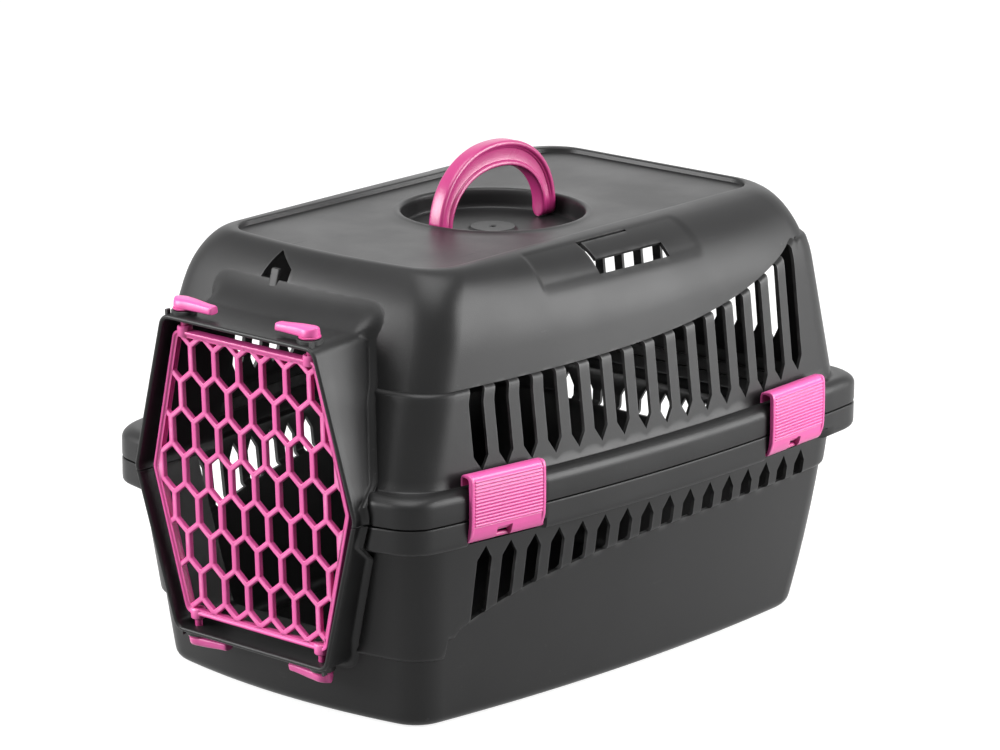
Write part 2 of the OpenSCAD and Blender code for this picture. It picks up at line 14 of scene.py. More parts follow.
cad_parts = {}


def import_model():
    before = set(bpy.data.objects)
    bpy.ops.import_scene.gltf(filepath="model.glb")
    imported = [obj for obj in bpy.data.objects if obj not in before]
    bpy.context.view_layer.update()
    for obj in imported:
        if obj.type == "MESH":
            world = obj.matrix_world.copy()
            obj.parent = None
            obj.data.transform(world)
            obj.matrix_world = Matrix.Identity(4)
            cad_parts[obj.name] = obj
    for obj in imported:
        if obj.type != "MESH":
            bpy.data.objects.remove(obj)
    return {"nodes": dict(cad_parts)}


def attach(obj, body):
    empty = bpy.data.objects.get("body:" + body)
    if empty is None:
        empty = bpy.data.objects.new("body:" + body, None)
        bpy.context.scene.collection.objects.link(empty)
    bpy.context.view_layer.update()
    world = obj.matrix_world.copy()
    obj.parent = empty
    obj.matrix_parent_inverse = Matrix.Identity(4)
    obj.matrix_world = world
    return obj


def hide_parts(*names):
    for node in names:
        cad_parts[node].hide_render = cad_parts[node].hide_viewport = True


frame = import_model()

bpy.context.view_layer.update()
nodes = frame["nodes"]
print("nodes", sorted(nodes))

# %% [markdown]
# The camera stands where the picture was taken: about 2.8 metres away, 40 degrees round from the door and
# 15 degrees up, with a long lens. Its matrix is made from the three directions right, up and back.

# %% Camera
AZIMUTH, ELEVATION, ROLL = math.radians(40.0), math.radians(15.355), math.radians(0.453)
EYE, LENS = Vector((1.74733, -2.05647, 0.91384)), 153.8
flat = math.cos(ELEVATION)
back = Vector((flat * math.sin(AZIMUTH), -flat * math.cos(AZIMUTH), math.sin(ELEVATION)))
level = Vector((math.cos(AZIMUTH), math.sin(AZIMUTH), 0))
above = back.cross(level)
right = math.cos(ROLL) * level + math.sin(ROLL) * above
up = -math.sin(ROLL) * level + math.cos(ROLL) * above
camera_data = bpy.data.cameras.new("picture_camera")
camera_data.sensor_width = 36
camera_data.lens = LENS
camera = bpy.data.objects.new("picture_camera", camera_data)
camera.matrix_world = Matrix.Translation(EYE) @ Matrix((right, up, back)).transposed().to_4x4()
bpy.context.scene.collection.objects.link(camera)
bpy.context.scene.camera = camera
camera_data.clip_end = 50
print("camera", [round(v, 3) for v in EYE], "lens", LENS)

# %% [markdown]
# Every new piece is a sheet of points on a grid, or several sheets that share their borders. A helper stacks
# the sheets, merges the points that coincide, and can give the surface a wall by copying it inwards along
# its normals. Working with whole arrays keeps this quick, and the merged borders leave no seams in the
# shading.


# %% Sheets, walls and meshes
def quads_of(rows, columns, first=0, keep=None, flip=False):
    """Quads between neighbouring points of a grid: point (j, i) has the number first + j * columns + i."""
    j, i = np.meshgrid(np.arange(rows - 1), np.arange(columns - 1), indexing="ij")
    a = first + j * columns + i
    q = np.stack([a, a + 1, a + columns + 1, a + columns], -1)
    if flip:
        q = q[..., ::-1]
    return q[keep] if keep is not None else q.reshape(-1, 4)


def merged(sheets, step=0.002):
    """Stacks sheets of (points, keep, flip) and merges points that lie in the same cell of a fine lattice."""
    points, quads, first = [], [], 0
    for grid, keep, flip in sheets:
        quads.append(quads_of(*grid.shape[:2], first, keep, flip))
        points.append(grid.reshape(-1, 3))
        first += grid.shape[0] * grid.shape[1]
    points, quads = np.vstack(points), np.vstack(quads)
    cells = np.round(points / step).astype(np.int64)
    _, index, inverse = np.unique(cells, axis=0, return_index=True, return_inverse=True)
    return points[index], inverse.reshape(-1)[quads]


def corner_normals(points, quads):
    """Normal at each point: the sum of its faces' normals, each the cross product of the quad's diagonals."""
    p = points[quads]
    n = np.cross(p[:, 2] - p[:, 0], p[:, 3] - p[:, 1])
    total = np.zeros_like(points)
    for k in range(4):
        np.add.at(total, quads[:, k], n)
    return total / np.maximum(np.linalg.norm(total, axis=1, keepdims=True), 1e-12)


def walled(points, quads, thick):
    """Copies the surface inwards by thick along its normals and joins both along every open border."""
    inner = points - corner_normals(points, quads) * thick
    n = len(points)
    edges = np.concatenate([quads[:, [k, (k + 1) % 4]] for k in range(4)])
    edges = edges[edges[:, 0] != edges[:, 1]]
    key = np.sort(edges, axis=1)
    _, index, count = np.unique(key, axis=0, return_index=True, return_counts=True)
    rim = edges[index[count == 1]]
    rim_quads = np.stack([rim[:, 1], rim[:, 0], rim[:, 0] + n, rim[:, 1] + n], -1)
    return np.vstack([points, inner]), np.vstack([quads, quads[:, ::-1] + n, rim_quads])


def make_mesh(name, points, quads, sharp=35.0):
    """An object from points in millimetres and quads. A quad with two equal corners becomes a triangle."""
    faces = [list(dict.fromkeys(q)) for q in quads.tolist()]
    mesh = bpy.data.meshes.new(name)
    mesh.from_pydata((points / 1000).tolist(), [], [f for f in faces if len(f) > 2])
    mesh.validate()
    mesh.shade_smooth()
    mesh.set_sharp_from_angle(angle=math.radians(sharp))
    piece = bpy.data.objects.new(name, mesh)
    bpy.context.scene.collection.objects.link(piece)
    print(name, len(mesh.vertices), "points", len(mesh.polygons), "faces")
    return piece


def ramp(x, low, high):
    """0 below low, 1 above high and a smooth S between them: 3t^2 - 2t^3."""
    t = np.clip((np.asarray(x, float) - low) / (high - low), 0, 1)
    return t * t * (3 - 2 * t)


# %% [markdown]
# The shells. On the real carrier each is one hollow moulding with a wall of about two and a half
# millimetres. Seen from above, each level of a shell is a rounded box with bowed sides and a bulging front.
# Its half width, front, rear and corner radius change with the height, so the whole wall is one function of
# the height and of the place along the outline. The sizes below are the drawing's, and a few of them set the
# rest.

# %% Sizes of the shells
LENGTH, WIDTH, HEIGHT = 453.0, 320.0, 284.0
REAR, HALF_RIM = LENGTH / 2, WIDTH / 2
PARTING, WALL = 138.5, 2.4
BEAD_TOP, FLANGE_LOW = PARTING + 19.5, PARTING - 17
PANEL, SHOULDER = HEIGHT - 3.5, HEIGHT - 44
CORNER, RIM_CORNER = 26.0, 24.0
DRAFT = math.tan(math.radians(7.4))
# The thick wall stands out past the thin one by this much
STEP = 2.5
# The sides are 34 mm narrower at the front than where they are widest, and the front bulges by 9 mm
RIM_FRONT, WIDEST, CREST = -REAR + 17, REAR - 132, 91.5
SIDE_RATE, FRONT_RATE = 34 / (WIDEST - RIM_FRONT) ** 2, 9 / CREST**2
# The collar round the door is a hexagon with rounded corners that leans back
COLLAR_WIDE, COLLAR_NARROW, COLLAR_HIGH, COLLAR_CORNER = 188.0, 129.0, 210.0, 9.0
SLANT = math.atan2((COLLAR_WIDE - COLLAR_NARROW) / 2, COLLAR_HIGH / 2)
LEAN = math.radians(2.8)
SIN, COS = math.sin(LEAN), math.cos(LEAN)
COLLAR_LIP, LEDGE = 6.4, COLLAR_HIGH / 2
DOOR_MIDDLE, DOOR_Y = 142.5, -REAR + COLLAR_LIP + LEDGE * SIN
# The latches' pins: distance from the middle and depth behind the door's front
PEG_X, PEG_DEPTH = 53.0, 3.75
# Slots in the sides and in the rear wall, counted from the front and outwards from the middle
SLOTS, FIRST_SLOT, PITCH, SLOT_HALF = 16, RIM_FRONT + 66, 20.0, 5.8
REAR_PITCH, REAR_HALF = 17.4, 5.2
CLIP_PLACES = {"front": RIM_FRONT + 74.5, "rear": REAR - 88}
DISH_Y, DISH_EDGE = REAR - 209, 68
slot_places = FIRST_SLOT + PITCH * np.arange(SLOTS)
print("side slots at y", [round(y, 1) for y in slot_places])


def upper_step(y):
    """Height of the upper shell's step line, H - 68.5 + 33 e^((y - rear + 74) / 72). It climbs to the rear."""
    return np.minimum(HEIGHT - 68.5 + 33 * np.exp((y - REAR + 74) / 72), HEIGHT - 28)


def lower_step(y):
    """Height of the base's step line, which falls away towards the front in the same way."""
    return np.maximum(FLANGE_LOW - 22.5 - 30 * np.exp((FIRST_SLOT - y) / 72), 46)


def shoulder_share(z, start):
    """Quarter circle in a unit square: 1 where the shoulder starts, 0 at the crest."""
    return np.sqrt(np.maximum(0, 1 - (np.maximum(0, z - start) / (HEIGHT - start)) ** 2))


def upper_levels(z):
    """Half width, front, rear, corner radius and share of the bow of the upper thin wall at height z."""
    fall = z - BEAD_TOP
    side = HALF_RIM - 9.5 - STEP - fall * DRAFT
    front = -RIM_FRONT - 10.5 - STEP - fall * math.tan(math.radians(16.7))
    rear = REAR - 12.5 - STEP - fall * math.tan(math.radians(8.5))
    side = CREST + (side - CREST) * shoulder_share(z, SHOULDER)
    front = -RIM_FRONT - 63 + (front + RIM_FRONT + 63) * shoulder_share(z, HEIGHT - 28)
    rear = REAR - 36.5 + (rear - REAR + 36.5) * shoulder_share(z, HEIGHT - 9)
    return np.stack([side, -front, rear, CORNER + 0 * z, shoulder_share(z, SHOULDER)])


def lower_levels(z):
    """The same for the base's thin wall, which rounds under to the floor over the last 7 mm."""
    fall = FLANGE_LOW - z
    tuck = 7 - np.sqrt(np.maximum(0, 49 - np.maximum(0, 7 - z) ** 2))
    side = HALF_RIM - 6.5 - STEP - fall * DRAFT - tuck
    front = RIM_FRONT + 11.5 + STEP + fall * math.tan(math.radians(6.4)) + tuck
    rear = REAR - 19.5 - STEP - 18 * (fall / FLANGE_LOW) ** 2 - tuck
    return np.stack([side, front, rear, CORNER - tuck, 1 + 0 * z])


def rim_levels(z):
    """The rim's own outline, the same at every height."""
    one = 1 + 0 * z
    return np.stack([HALF_RIM * one, RIM_FRONT * one, REAR * one, RIM_CORNER * one, one])


def grown(levels, out):
    """The outline moved outwards by out. Its corners are rounded by as much more."""
    side, front, rear, r, share = levels
    return np.stack([side + out, front - out, rear + out, r + out, share])


# %% [markdown]
# A shell's grid has the same columns at every height. They stand close together at slots and corners and
# further apart where the wall is plain. A slot is then a block of cells that are left out, with clean
# straight edges, and the wall needs no boolean cuts, which would leave long thin triangles and uneven
# shading.

# %% Columns of the shells
# A column is (kind, value). Inner and outer front columns are shares of the front's width inside and outside
# the collar, corner columns turn round the front corner, and side columns stand at a fixed y. Lead and trail
# columns fill up what is left of the side, and rear columns stand at a fixed x.
inner = [("inner", v) for v in (0, 0.08, 0.15, 0.19, 0.23, 0.3, 0.4, 0.5, 0.6, 0.7, 0.8, 0.9, 1.0)]
outer = [("outer", v) for v in (0.04, 0.06, 0.075, 0.1, 0.135, 0.18, 0.24, 0.31, 0.38, 0.46, 0.6, 0.8, 1.0)]
corner = [("corner", v / 8) for v in range(1, 9)]
lead = [("lead", v) for v in (0.25, 0.5, 0.75)]
around_slot = np.array([-5.8, -4, -2, 0, 2, 4, 5.8, 7.2, 9, 11, 12.8])
side_places = np.concatenate([FIRST_SLOT - 13.4 + np.array([0, 2.2, 4.4, 6.2]),
                              (slot_places[:, None] + around_slot).ravel()])
side_columns = [("side", v) for v in side_places]
trail = [("trail", v) for v in (0.25, 0.5, 0.75)]
rear_corner = [("rear_corner", v / 8) for v in range(0, 9)]
# Five columns for each of six rear slots. Only the right half of the last one is needed, as it is in the middle
rear_slots = np.repeat(np.arange(5, -1, -1), 5)[:-2]
rear_places = rear_slots * REAR_PITCH + np.tile([5.2, 2.6, 0, -2.6, -5.2], 6)[:-2]
rear = [("rear", v) for v in (98.0, *rear_places)]
columns = inner + outer + corner + lead + side_columns + trail + rear_corner + rear
kinds, values = np.array([c[0] for c in columns]), np.array([c[1] for c in columns])
COLUMNS = len(columns)
is_side = kinds == "side"
inner_cells = (kinds[1:] == "inner") & (kinds[:-1] == "inner")
# The y of each column. Columns without a fixed y are given a usual one, for the step line's height
USUAL_Y = {"inner": -200, "outer": -200, "corner": -200, "lead": -165, "trail": 165, "rear_corner": 200,
           "rear": 200}
column_y = np.array([v if kind == "side" else USUAL_Y[kind] for kind, v in columns], float)
side_y = np.where(is_side, column_y, np.nan)
# The slot that each column belongs to and its distance from the slot's middle, on the scale of a side slot
slot_of, from_slot = np.full(COLUMNS, -1), np.full(COLUMNS, 99.0)
nearest = np.abs(side_places[:, None] - slot_places).argmin(1)
slot_of[is_side], from_slot[is_side] = nearest, side_places - slot_places[nearest]
slot_of[-len(rear_places):] = SLOTS + rear_slots
from_slot[-len(rear_places):] = (rear_places - rear_slots * REAR_PITCH) * SLOT_HALF / REAR_HALF
in_slot = np.abs(from_slot) <= SLOT_HALF + 0.01
slot_cell = in_slot[:-1] & in_slot[1:] & (slot_of[:-1] == slot_of[1:])
print("columns", COLUMNS, "of them in slots", in_slot.sum())


def front_corner(levels):
    """Where the front corner's arc meets the side and the front: turn and y at the side, the x of its middle,
    and turn, x and y at the front."""
    side, front, rear, r, share = levels
    turn = np.arctan(2 * SIDE_RATE * share * (WIDEST - front - r))
    start = front + r * (1 - np.sin(turn))
    front_x = side - SIDE_RATE * share * (start - WIDEST) ** 2 - r * np.cos(turn)
    bulge_turn = np.arctan(2 * FRONT_RATE * front_x)
    bulge_x, bulge_y = front_x + r * np.sin(bulge_turn), front + r * (1 - np.cos(bulge_turn))
    return turn, start, front_x, bulge_turn, bulge_x, bulge_y


def outline(levels, split, middle):
    """Right half of the outline, one point for each row and column of levels. split is the half width where the
    inner front columns meet the outer ones, middle the x of the first column. The side follows
    x = half - k (y - widest)^2, the front y = edge - rate (b^2 - x^2), and arcs tangent to both turn the
    corners."""
    side, front, rear, r, share = levels
    turn_front, start, front_x, bulge_turn, bulge_x, bulge_y = front_corner(levels)
    k = SIDE_RATE * share
    turn_rear = np.arctan(2 * k * (rear - r - WIDEST))
    end = rear - r * (1 - np.sin(turn_rear))
    wide = lambda y: side - k * (y - WIDEST) ** 2
    front_y = front + r
    rear_x, rear_y = wide(end) - r * np.cos(turn_rear), rear - r
    v = values[None, :] + 0 * side
    x = np.where(kinds == "inner", middle + (split - middle) * v, split + (bulge_x - split) * v)
    y = bulge_y - FRONT_RATE * (bulge_x**2 - x**2)
    m = kinds == "corner"
    a = (bulge_turn - np.pi / 2) * (1 - v) - turn_front * v
    x, y = np.where(m, front_x + r * np.cos(a), x), np.where(m, front_y + r * np.sin(a), y)
    # Side columns keep their y, except near the ends of the side, where they give way to the rounded corners
    first, last = side_places[0], side_places[-1]
    late, early = np.maximum(0, start + 4 - first), np.maximum(0, last - (end - 4))
    here = v + late * (1 - ramp(v, first, first + 100))
    here = here - early * ramp(v, last - 60, last)
    here = np.where(kinds == "lead", start + (first + late - start) * v, here)
    here = np.where(kinds == "trail", last - early + (end - (last - early)) * v, here)
    m = is_side | (kinds == "lead") | (kinds == "trail")
    x, y = np.where(m, wide(here), x), np.where(m, here, y)
    m = kinds == "rear_corner"
    a = turn_rear + (np.pi / 2 - turn_rear) * v
    x, y = np.where(m, rear_x + r * np.cos(a), x), np.where(m, rear_y + r * np.sin(a), y)
    m = kinds == "rear"
    return np.where(m, v * np.minimum(1, rear_x / 101), x), np.where(m, rear, y)


# %% [markdown]
# The upper shell in rows. From the parting line up, the rows go round the bead, up the thick wall with its
# slots, over the step line, up the thin wall, over the shoulder to the crest, and across the roof into the
# dish. A slot's pointed end and the step line are rows whose height changes from column to column.

# %% Rows of the upper shell
# Height and share of the way from the rim's outline to the wall's: the bead's rounded lower edge, face and
# top
BEAD_END, HOOK_LOW = 159.0, 262.0
turns = np.radians(np.arange(10, 91, 10))
BEAD = np.vstack([[[138.9, 0.10], [139.05, 0.05], [139.5, 0.012], [140.3, 0], [145, 0], [150.5, 0]],
                  np.stack([151 + 7 * np.sin(turns), 0.737 * (1 - np.cos(turns))], 1),
                  [[158.02, 0.86], [158.3, 0.955], [BEAD_END, 1.0]]])
TOP_ROWS = np.array([HOOK_LOW, 265, 267.5, 270, 273, 275.5, 278, 280, 281.4, 282.1, 282.9, 283.5, 283.85, 284])
# Inset and height of the roof's raised edge, from the crest inwards and down to the panel
CREST_ROWS = [[1.2, 284], [2.1, 283.9], [2.7, 283.5], [2.95, 282.9], [3.1, 281.6], [3.4, 280.8], [4.2, PANEL],
              [7, PANEL]]
point = 9 * np.minimum(np.abs(from_slot) / SLOT_HALF, 1)
climb = np.interp(column_y, slot_places, 3.0 * np.maximum(0, np.arange(SLOTS) - 13))
slot_low = BEAD_TOP + 7 + climb + point
line = upper_step(column_y)


def flat_rows(heights):
    """Rows that keep one height all the way round."""
    return [np.full(COLUMNS, z) for z in heights]


def rows_between(low, high, shares):
    """Rows at shares of the way from the heights of one row to those of another."""
    return [low + (high - low) * t for t in shares]


def blend(a, b, share):
    """A mix of two sets of levels: share 0 gives a and 1 gives b."""
    return a + (b - a) * share


def proud(depth):
    """Share of the step that stands out at a depth behind its line: a quarter circle over 3 mm."""
    return np.sqrt(np.maximum(0, 1 - ((3 - np.minimum(depth, 3)) / 3) ** 2))


def upper_surface(z, line, near=0):
    """Levels of the outer surface at heights up to the crest: rim, thick wall, step and thin wall by turns.
    near is 1 beside the tunnel, where the bead and the thick wall have ended, and 0 away from it."""
    wall = grown(upper_levels(np.maximum(z, BEAD_TOP)), STEP * proud(line - z) * (z < line) * (1 - near))
    share = 1 - (1 - np.interp(z, BEAD[:, 0], BEAD[:, 1])) * (1 - near)
    return np.where(z < BEAD_END, blend(rim_levels(z), wall, share), wall)


heights = flat_rows(BEAD[:, 0]) + rows_between(BEAD_END, slot_low, (0.4, 0.8, 1))
first_slot_row = len(heights) - 1
heights += rows_between(slot_low, line - 3, (0.12, 0.25, 0.38, 0.5, 0.62, 0.74, 0.84, 0.92, 1))
heights += [line - d for d in (2, 1.2, 0.5, 0.1, 0)]
last_slot_row = len(heights) - 1
heights += rows_between(line, HOOK_LOW, (0.06, 0.2, 0.4, 0.55, 0.7, 0.8, 0.9))
ledge_row, first_top_row = len(heights) - 3, len(heights)
heights = np.array(heights + flat_rows(TOP_ROWS))
# Beside the tunnel the bead and the thick wall end in a quarter circle
quarter_end = 1 - np.sqrt(np.maximum(0, 1 - (1 - np.clip((values - 0.06) / 0.4, 0, 1)) ** 2))
beside = np.where(kinds == "outer", quarter_end, np.where(kinds == "inner", 1.0, 0.0))
levels = upper_surface(heights, line, beside)
# The strap's recess: a rounded rectangle 1.5 mm deep, high on each side
recess = ramp(heights, 262.6, 265) * (1 - ramp(heights, 281.9, 283))
recess = recess * ramp(column_y, -78, -72) * (1 - ramp(column_y, 72, 78))
levels = grown(levels, -1.5 * recess * is_side)
# Pockets 1 mm deep behind the four clips
behind_clip = sum(ramp(column_y, y - 32.5, y - 31) * (1 - ramp(column_y, y + 31, y + 32.5))
                  for y in CLIP_PLACES.values())
levels = grown(levels, -1.0 * behind_clip * is_side * (1 - ramp(heights, 156.5, 158)))
crest = upper_levels(np.full((1, COLUMNS), HEIGHT))
levels = np.concatenate([levels] + [grown(crest, -inset) for inset, z in CREST_ROWS], 1)
heights = np.vstack([heights] + flat_rows([z for inset, z in CREST_ROWS]))
print("rows up to the roof", len(heights), "slots in rows", first_slot_row, "to", last_slot_row)

# %% [markdown]
# The front wall opens for the door, and above the collar a small drop-shaped opening holds a tongue. Its
# edges lean, so the inner front columns are moved sideways, row by row, until the third of them lies on the
# edge. Above the opening they spread out again, because columns that swing back at once would leave a dent
# in the crest.

# %% Openings and halves of the upper shell
OPENING_WIDE, OPENING_NARROW, OPENING_TOP = 92.4, 63.2, 248
HOOK_SHARE, HOOK_X = 0.15, -19.0
STRAP_FRONT, STRAP_REAR = -21.5, 45.5
# Radius and height of the roof's dish, from its rounded edge down the wall, over the floor and the ring to
# the hole
DISH = [[66, 280.6], [64.4, 281.0], [63, 281.45], [61.6, 281.3], [60.6, 280.6], [60.1, 279.4], [60, 277],
        [60, 272], [60, 269.8], [59.5, 268.8], [58.6, 268.2], [57, 268], [45, 268], [30, 268], [18, 268],
        [16.4, 268.1], [15.4, 268.7], [15, 269.5], [14.4, 270], [11, 270], [6, 270], [3, 270], [2.2, 269.8],
        [1.8, 269.2]]


def opening_below(z):
    """Half width of the front's opening under the collar's middle, where it narrows with the collar."""
    return OPENING_WIDE - (DOOR_MIDDLE - z) * math.tan(SLANT)


def hook_edges(z):
    """Left and right edge of the opening above the collar, a leaning drop that closes near the crest."""
    left = -32 + 8 * (np.clip(z - 260, 0, 21.4) / 21.4) ** 1.8
    right = np.where(z < 273, -7.5 - 0.09 * (z - 260), -8.7 - 1.75 * (z - 273))
    near = ramp(z, 225, 260)
    return left * near, np.maximum(right, left + 0.8) * near


opening = np.interp(heights, [DOOR_MIDDLE, OPENING_TOP], [OPENING_WIDE, OPENING_NARROW])
opening = np.where(heights < DOOR_MIDDLE, opening_below(heights), opening)
top_so_far = np.maximum.accumulate(heights)
left_edge, right_edge = hook_edges(top_so_far)
widen = np.zeros((len(heights), 1))
widen[first_top_row + 9:, 0] = np.linspace(0.1, 1, len(heights) - first_top_row - 9)
left_edge, right_edge = left_edge - 8 * widen, right_edge + 8 * widen
held = ramp(top_so_far, 225, 260)


def between(low, high):
    """Cells of the side between two places along it."""
    return is_side[1:] & (side_y[:-1] >= low - 0.1) & (side_y[1:] <= high + 0.1)


def upper_half(side):
    """Points of one half. side 1 is the right half. The left one is worked out mirrored and turned back."""
    edge = np.where(side > 0, right_edge, -left_edge)
    middle = side * (left_edge + right_edge) / 2
    edge = edge * held + HOOK_SHARE * opening * (1 - held)
    x, y = outline(levels, opening, middle)
    v = values[None, :] + 0 * heights
    warped = np.where(v <= HOOK_SHARE, middle + (edge - middle) * v / HOOK_SHARE,
                      edge + (opening - edge) * (v - HOOK_SHARE) / (1 - HOOK_SHARE))
    is_inner = kinds == "inner"
    x_new = np.where(is_inner, warped, x)
    y = np.where(is_inner, y - FRONT_RATE * (x**2 - x_new**2), y)
    at_hook_low = is_inner & (np.abs(heights - HOOK_LOW) < 0.01)
    z = heights - np.where(at_hook_low, 2.8 * (1 - ramp(v, 0.16, 0.3)), 0)
    # The roof: from the crest's inner edge to the dish, along rays from the dish's middle
    angle = np.arctan2(y[-1] - DISH_Y, side * x_new[-1])
    radius = np.hypot(side * x_new[-1], y[-1] - DISH_Y)
    rings = [(radius + (DISH_EDGE - radius) * t, PANEL) for t in (0.2, 0.4, 0.6, 0.8, 0.92)] + DISH
    roof = [np.stack([r * np.cos(angle), DISH_Y + r * np.sin(angle), np.full(COLUMNS, z_ring)], -1)
            for r, z_ring in rings]
    points = np.concatenate([np.stack([side * x_new, y, z], -1), np.array(roof)])
    keep = np.ones((len(points) - 1, COLUMNS - 1), bool)
    keep[first_slot_row:last_slot_row, slot_cell] = False
    keep[:ledge_row, inner_cells] = False
    keep[first_top_row:first_top_row + 8, inner_cells & (values[1:] <= HOOK_SHARE + 1e-6)] = False
    # The strap's window: full height first, then narrower towards the shoulder
    for low, high, end in ((1, 4, STRAP_REAR), (4, 8, -17.7), (8, 9, 28.7)):
        keep[first_top_row + low:first_top_row + high, between(STRAP_FRONT, end)] = False
    return points, keep, side < 0


# %% [markdown]
# The tunnel round the door is one tube with a rounded lip, six-cornered like the door. Its profile runs from
# a fillet that lies on the front wall, forward to the lip and back inside. The fillet ends tangent to the
# wall, so no seam shows, although the two are separate closed surfaces.

# %% The tunnel
START_Z, FOOT_COLUMNS = 7.0, 6
LIP_ROUND, LIP_BACK = 1.5, 4.9


def leaned(points):
    """Turns upright door coordinates (x, depth, height) by the lean and puts them in the collar."""
    x, y, z = np.moveaxis(np.asarray(points, float), -1, 0)
    return np.stack([x, DOOR_Y + y * COS - z * SIN, DOOR_MIDDLE + y * SIN + z * COS], -1)


def wall_y(x, z, surface):
    """Y of a shell's front face at x and z: the bulged front of its levels there."""
    *_, bulge_x, bulge_y = front_corner(surface(z))
    return bulge_y - FRONT_RATE * (bulge_x**2 - np.minimum(np.abs(x), bulge_x) ** 2)


def collar_half(z, inset):
    """Half width of the collar at height z from its middle: slanted sides that meet in a rounded point."""
    tip = COLLAR_WIDE / 2 - inset / math.cos(SLANT)
    r = COLLAR_CORNER - inset
    rounded = tip - r / math.cos(SLANT) + np.sqrt(np.maximum(r**2 - z**2, 0))
    return np.where(np.abs(z) < r * math.sin(SLANT), rounded, tip - np.abs(z) * math.tan(SLANT))


def collar_places():
    """Points up the collar's right side, round its corner and along its top, with their outward directions."""
    corner_x = COLLAR_NARROW / 2 - COLLAR_CORNER * (1 / math.cos(SLANT) - math.tan(SLANT))
    a = np.linspace(SLANT, np.pi / 2, 9)
    turning = np.stack([np.cos(a), np.sin(a)], 1)
    arc = np.array([corner_x, LEDGE - COLLAR_CORNER]) + COLLAR_CORNER * turning
    side_z = np.linspace(START_Z, arc[0, 1], 9)[:-1]
    top_x = np.array([54, 48, 40, 30, 20, 12, 6, 0.0])
    places = [np.stack([collar_half(side_z, 0), side_z], 1), arc, np.stack([top_x, LEDGE + 0 * top_x], 1)]
    directions = [np.tile(turning[:1], (len(side_z), 1)), turning, np.tile([[0.0, 1.0]], (len(top_x), 1))]
    return np.concatenate(places), np.concatenate(directions)


def tunnel_profile(reach):
    """Steps of the profile as (kind, inset, depth): fillet, outer face, lip, inner face, back and underside."""
    fillet = np.radians(np.arange(90, -1, -11.25))
    profile = [("wall", 1 - math.cos(t), -(1 - math.sin(t))) for t in fillet]
    profile += [("out", 0, t) for t in (0.25, 0.5, 0.75)]
    profile += [("lip", LIP_ROUND - LIP_ROUND * math.cos(t), -COLLAR_LIP + LIP_ROUND - LIP_ROUND * math.sin(t))
                for t in np.radians(np.arange(0, 181, 22.5))]
    profile += [("in", 3.0, y) for y in (-2, 2, 8, 20, 40, reach - 0.6)]
    profile += [("in", 2.4, reach), ("in", 0.6, reach), ("in", 0, reach - 0.6)]
    return profile + [("back", 0, 0), ("under", 0, 0), ("under", 1, 0)]


def tunnel(up, cut, surface, reach, fillet_side, fillet_end):
    """Right half of a tube, as points (profile, place round the hexagon). up is 1 above the parting line and -1
    below, cut the height where the tube is cut off. The wall's y depends on the height and the height on y, so
    a few rounds bring them together."""
    places, directions = collar_places()
    radius = fillet_side + (fillet_end - fillet_side) * ramp(directions[:, 1], math.sin(SLANT) + 0.02, 0.98)
    r = np.concatenate([np.full(FOOT_COLUMNS, fillet_side), radius])
    part = np.linspace(0, 1, FOOT_COLUMNS + 1)[:-1]
    rows = []
    for kind, a, b in tunnel_profile(reach):
        inset = -r * a if kind in ("wall", "under") else np.full_like(r, a)
        foot_inset, inset = inset[:FOOT_COLUMNS], inset[FOOT_COLUMNS:]
        y = np.zeros_like(r)
        for _ in range(4):
            cut_z = (cut - DOOR_MIDDLE - y[:FOOT_COLUMNS] * SIN) / COS * up
            foot_z = cut_z + (START_Z - cut_z) * part
            x = np.concatenate([collar_half(foot_z, foot_inset), places[:, 0] - inset * directions[:, 0]])
            z = np.concatenate([foot_z, places[:, 1] - inset * directions[:, 1]]) * up
            on_wall = (wall_y(x, DOOR_MIDDLE + y * SIN + z * COS, surface) - DOOR_Y + z * SIN) / COS
            if kind == "wall":
                y = on_wall + r * b
            elif kind == "out":
                y = (on_wall - r) * (1 - b) - LIP_BACK * b
            elif kind in ("back", "under"):
                y = on_wall + 1.4
            else:
                y = np.full_like(r, b)
        rows.append(leaned(np.stack([x, y, z], -1)))
    return np.array(rows)


def tunnel_shell(up, *sizes):
    """Both halves joined in the middle and closed along the profile and at the two cut ends."""
    half = tunnel(up, *sizes)
    both = np.concatenate([half, half[:, -2::-1] * [-1, 1, 1]], 1)
    both = np.concatenate([both, both[:1]])
    caps = [np.broadcast_to(both[:-1, i].mean(0), (len(both), 3)) for i in (0, -1)]
    both = np.concatenate([caps[0][:, None], both, caps[1][:, None]], 1)
    return merged([(both, None, up < 0)])


# %% [markdown]
# The base's rows run down in the same way: a sealing lip that stands up inside the rim, the flange, the
# thick wall with its slots, the step, the thin wall and the floor. On the real carrier the lip keeps water
# and claws out of the gap between the shells. Here it also stops light from showing through it.

# %% Rows of the base
# Height and share of the way from the rim's outline to the wall's, for the flange and for the lip inside it
FLANGE_END = 120.3
FLANGE = np.array([[138.35, 0.5], [138.3, 0.12], [138.1, 0.035], [137.7, 0.006], [136.8, 0], [131, 0],
                   [128.6, 0], [127.6, 0], [126, 0], [124.2, 0.012], [122.9, 0.06], [122.0, 0.16],
                   [121.6, 0.32], [121.5, 0.6], [121.45, 0.88], [121.2, 0.97], [FLANGE_END, 1.0]])
LIP = np.array([[146.2, 0.78], [146.5, 0.7], [146.3, 0.62], [145.8, 0.58], [138.7, 0.56]])
# Inset and height of the underside: the rim that it stands on and the raised floor
FLOOR = [[1.2, 0], [4, 0], [5.2, 0.4], [6, 1.2], [7.5, 1.4]]
low_line = lower_step(column_y)
slot_high = FLANGE_LOW - 4 - point


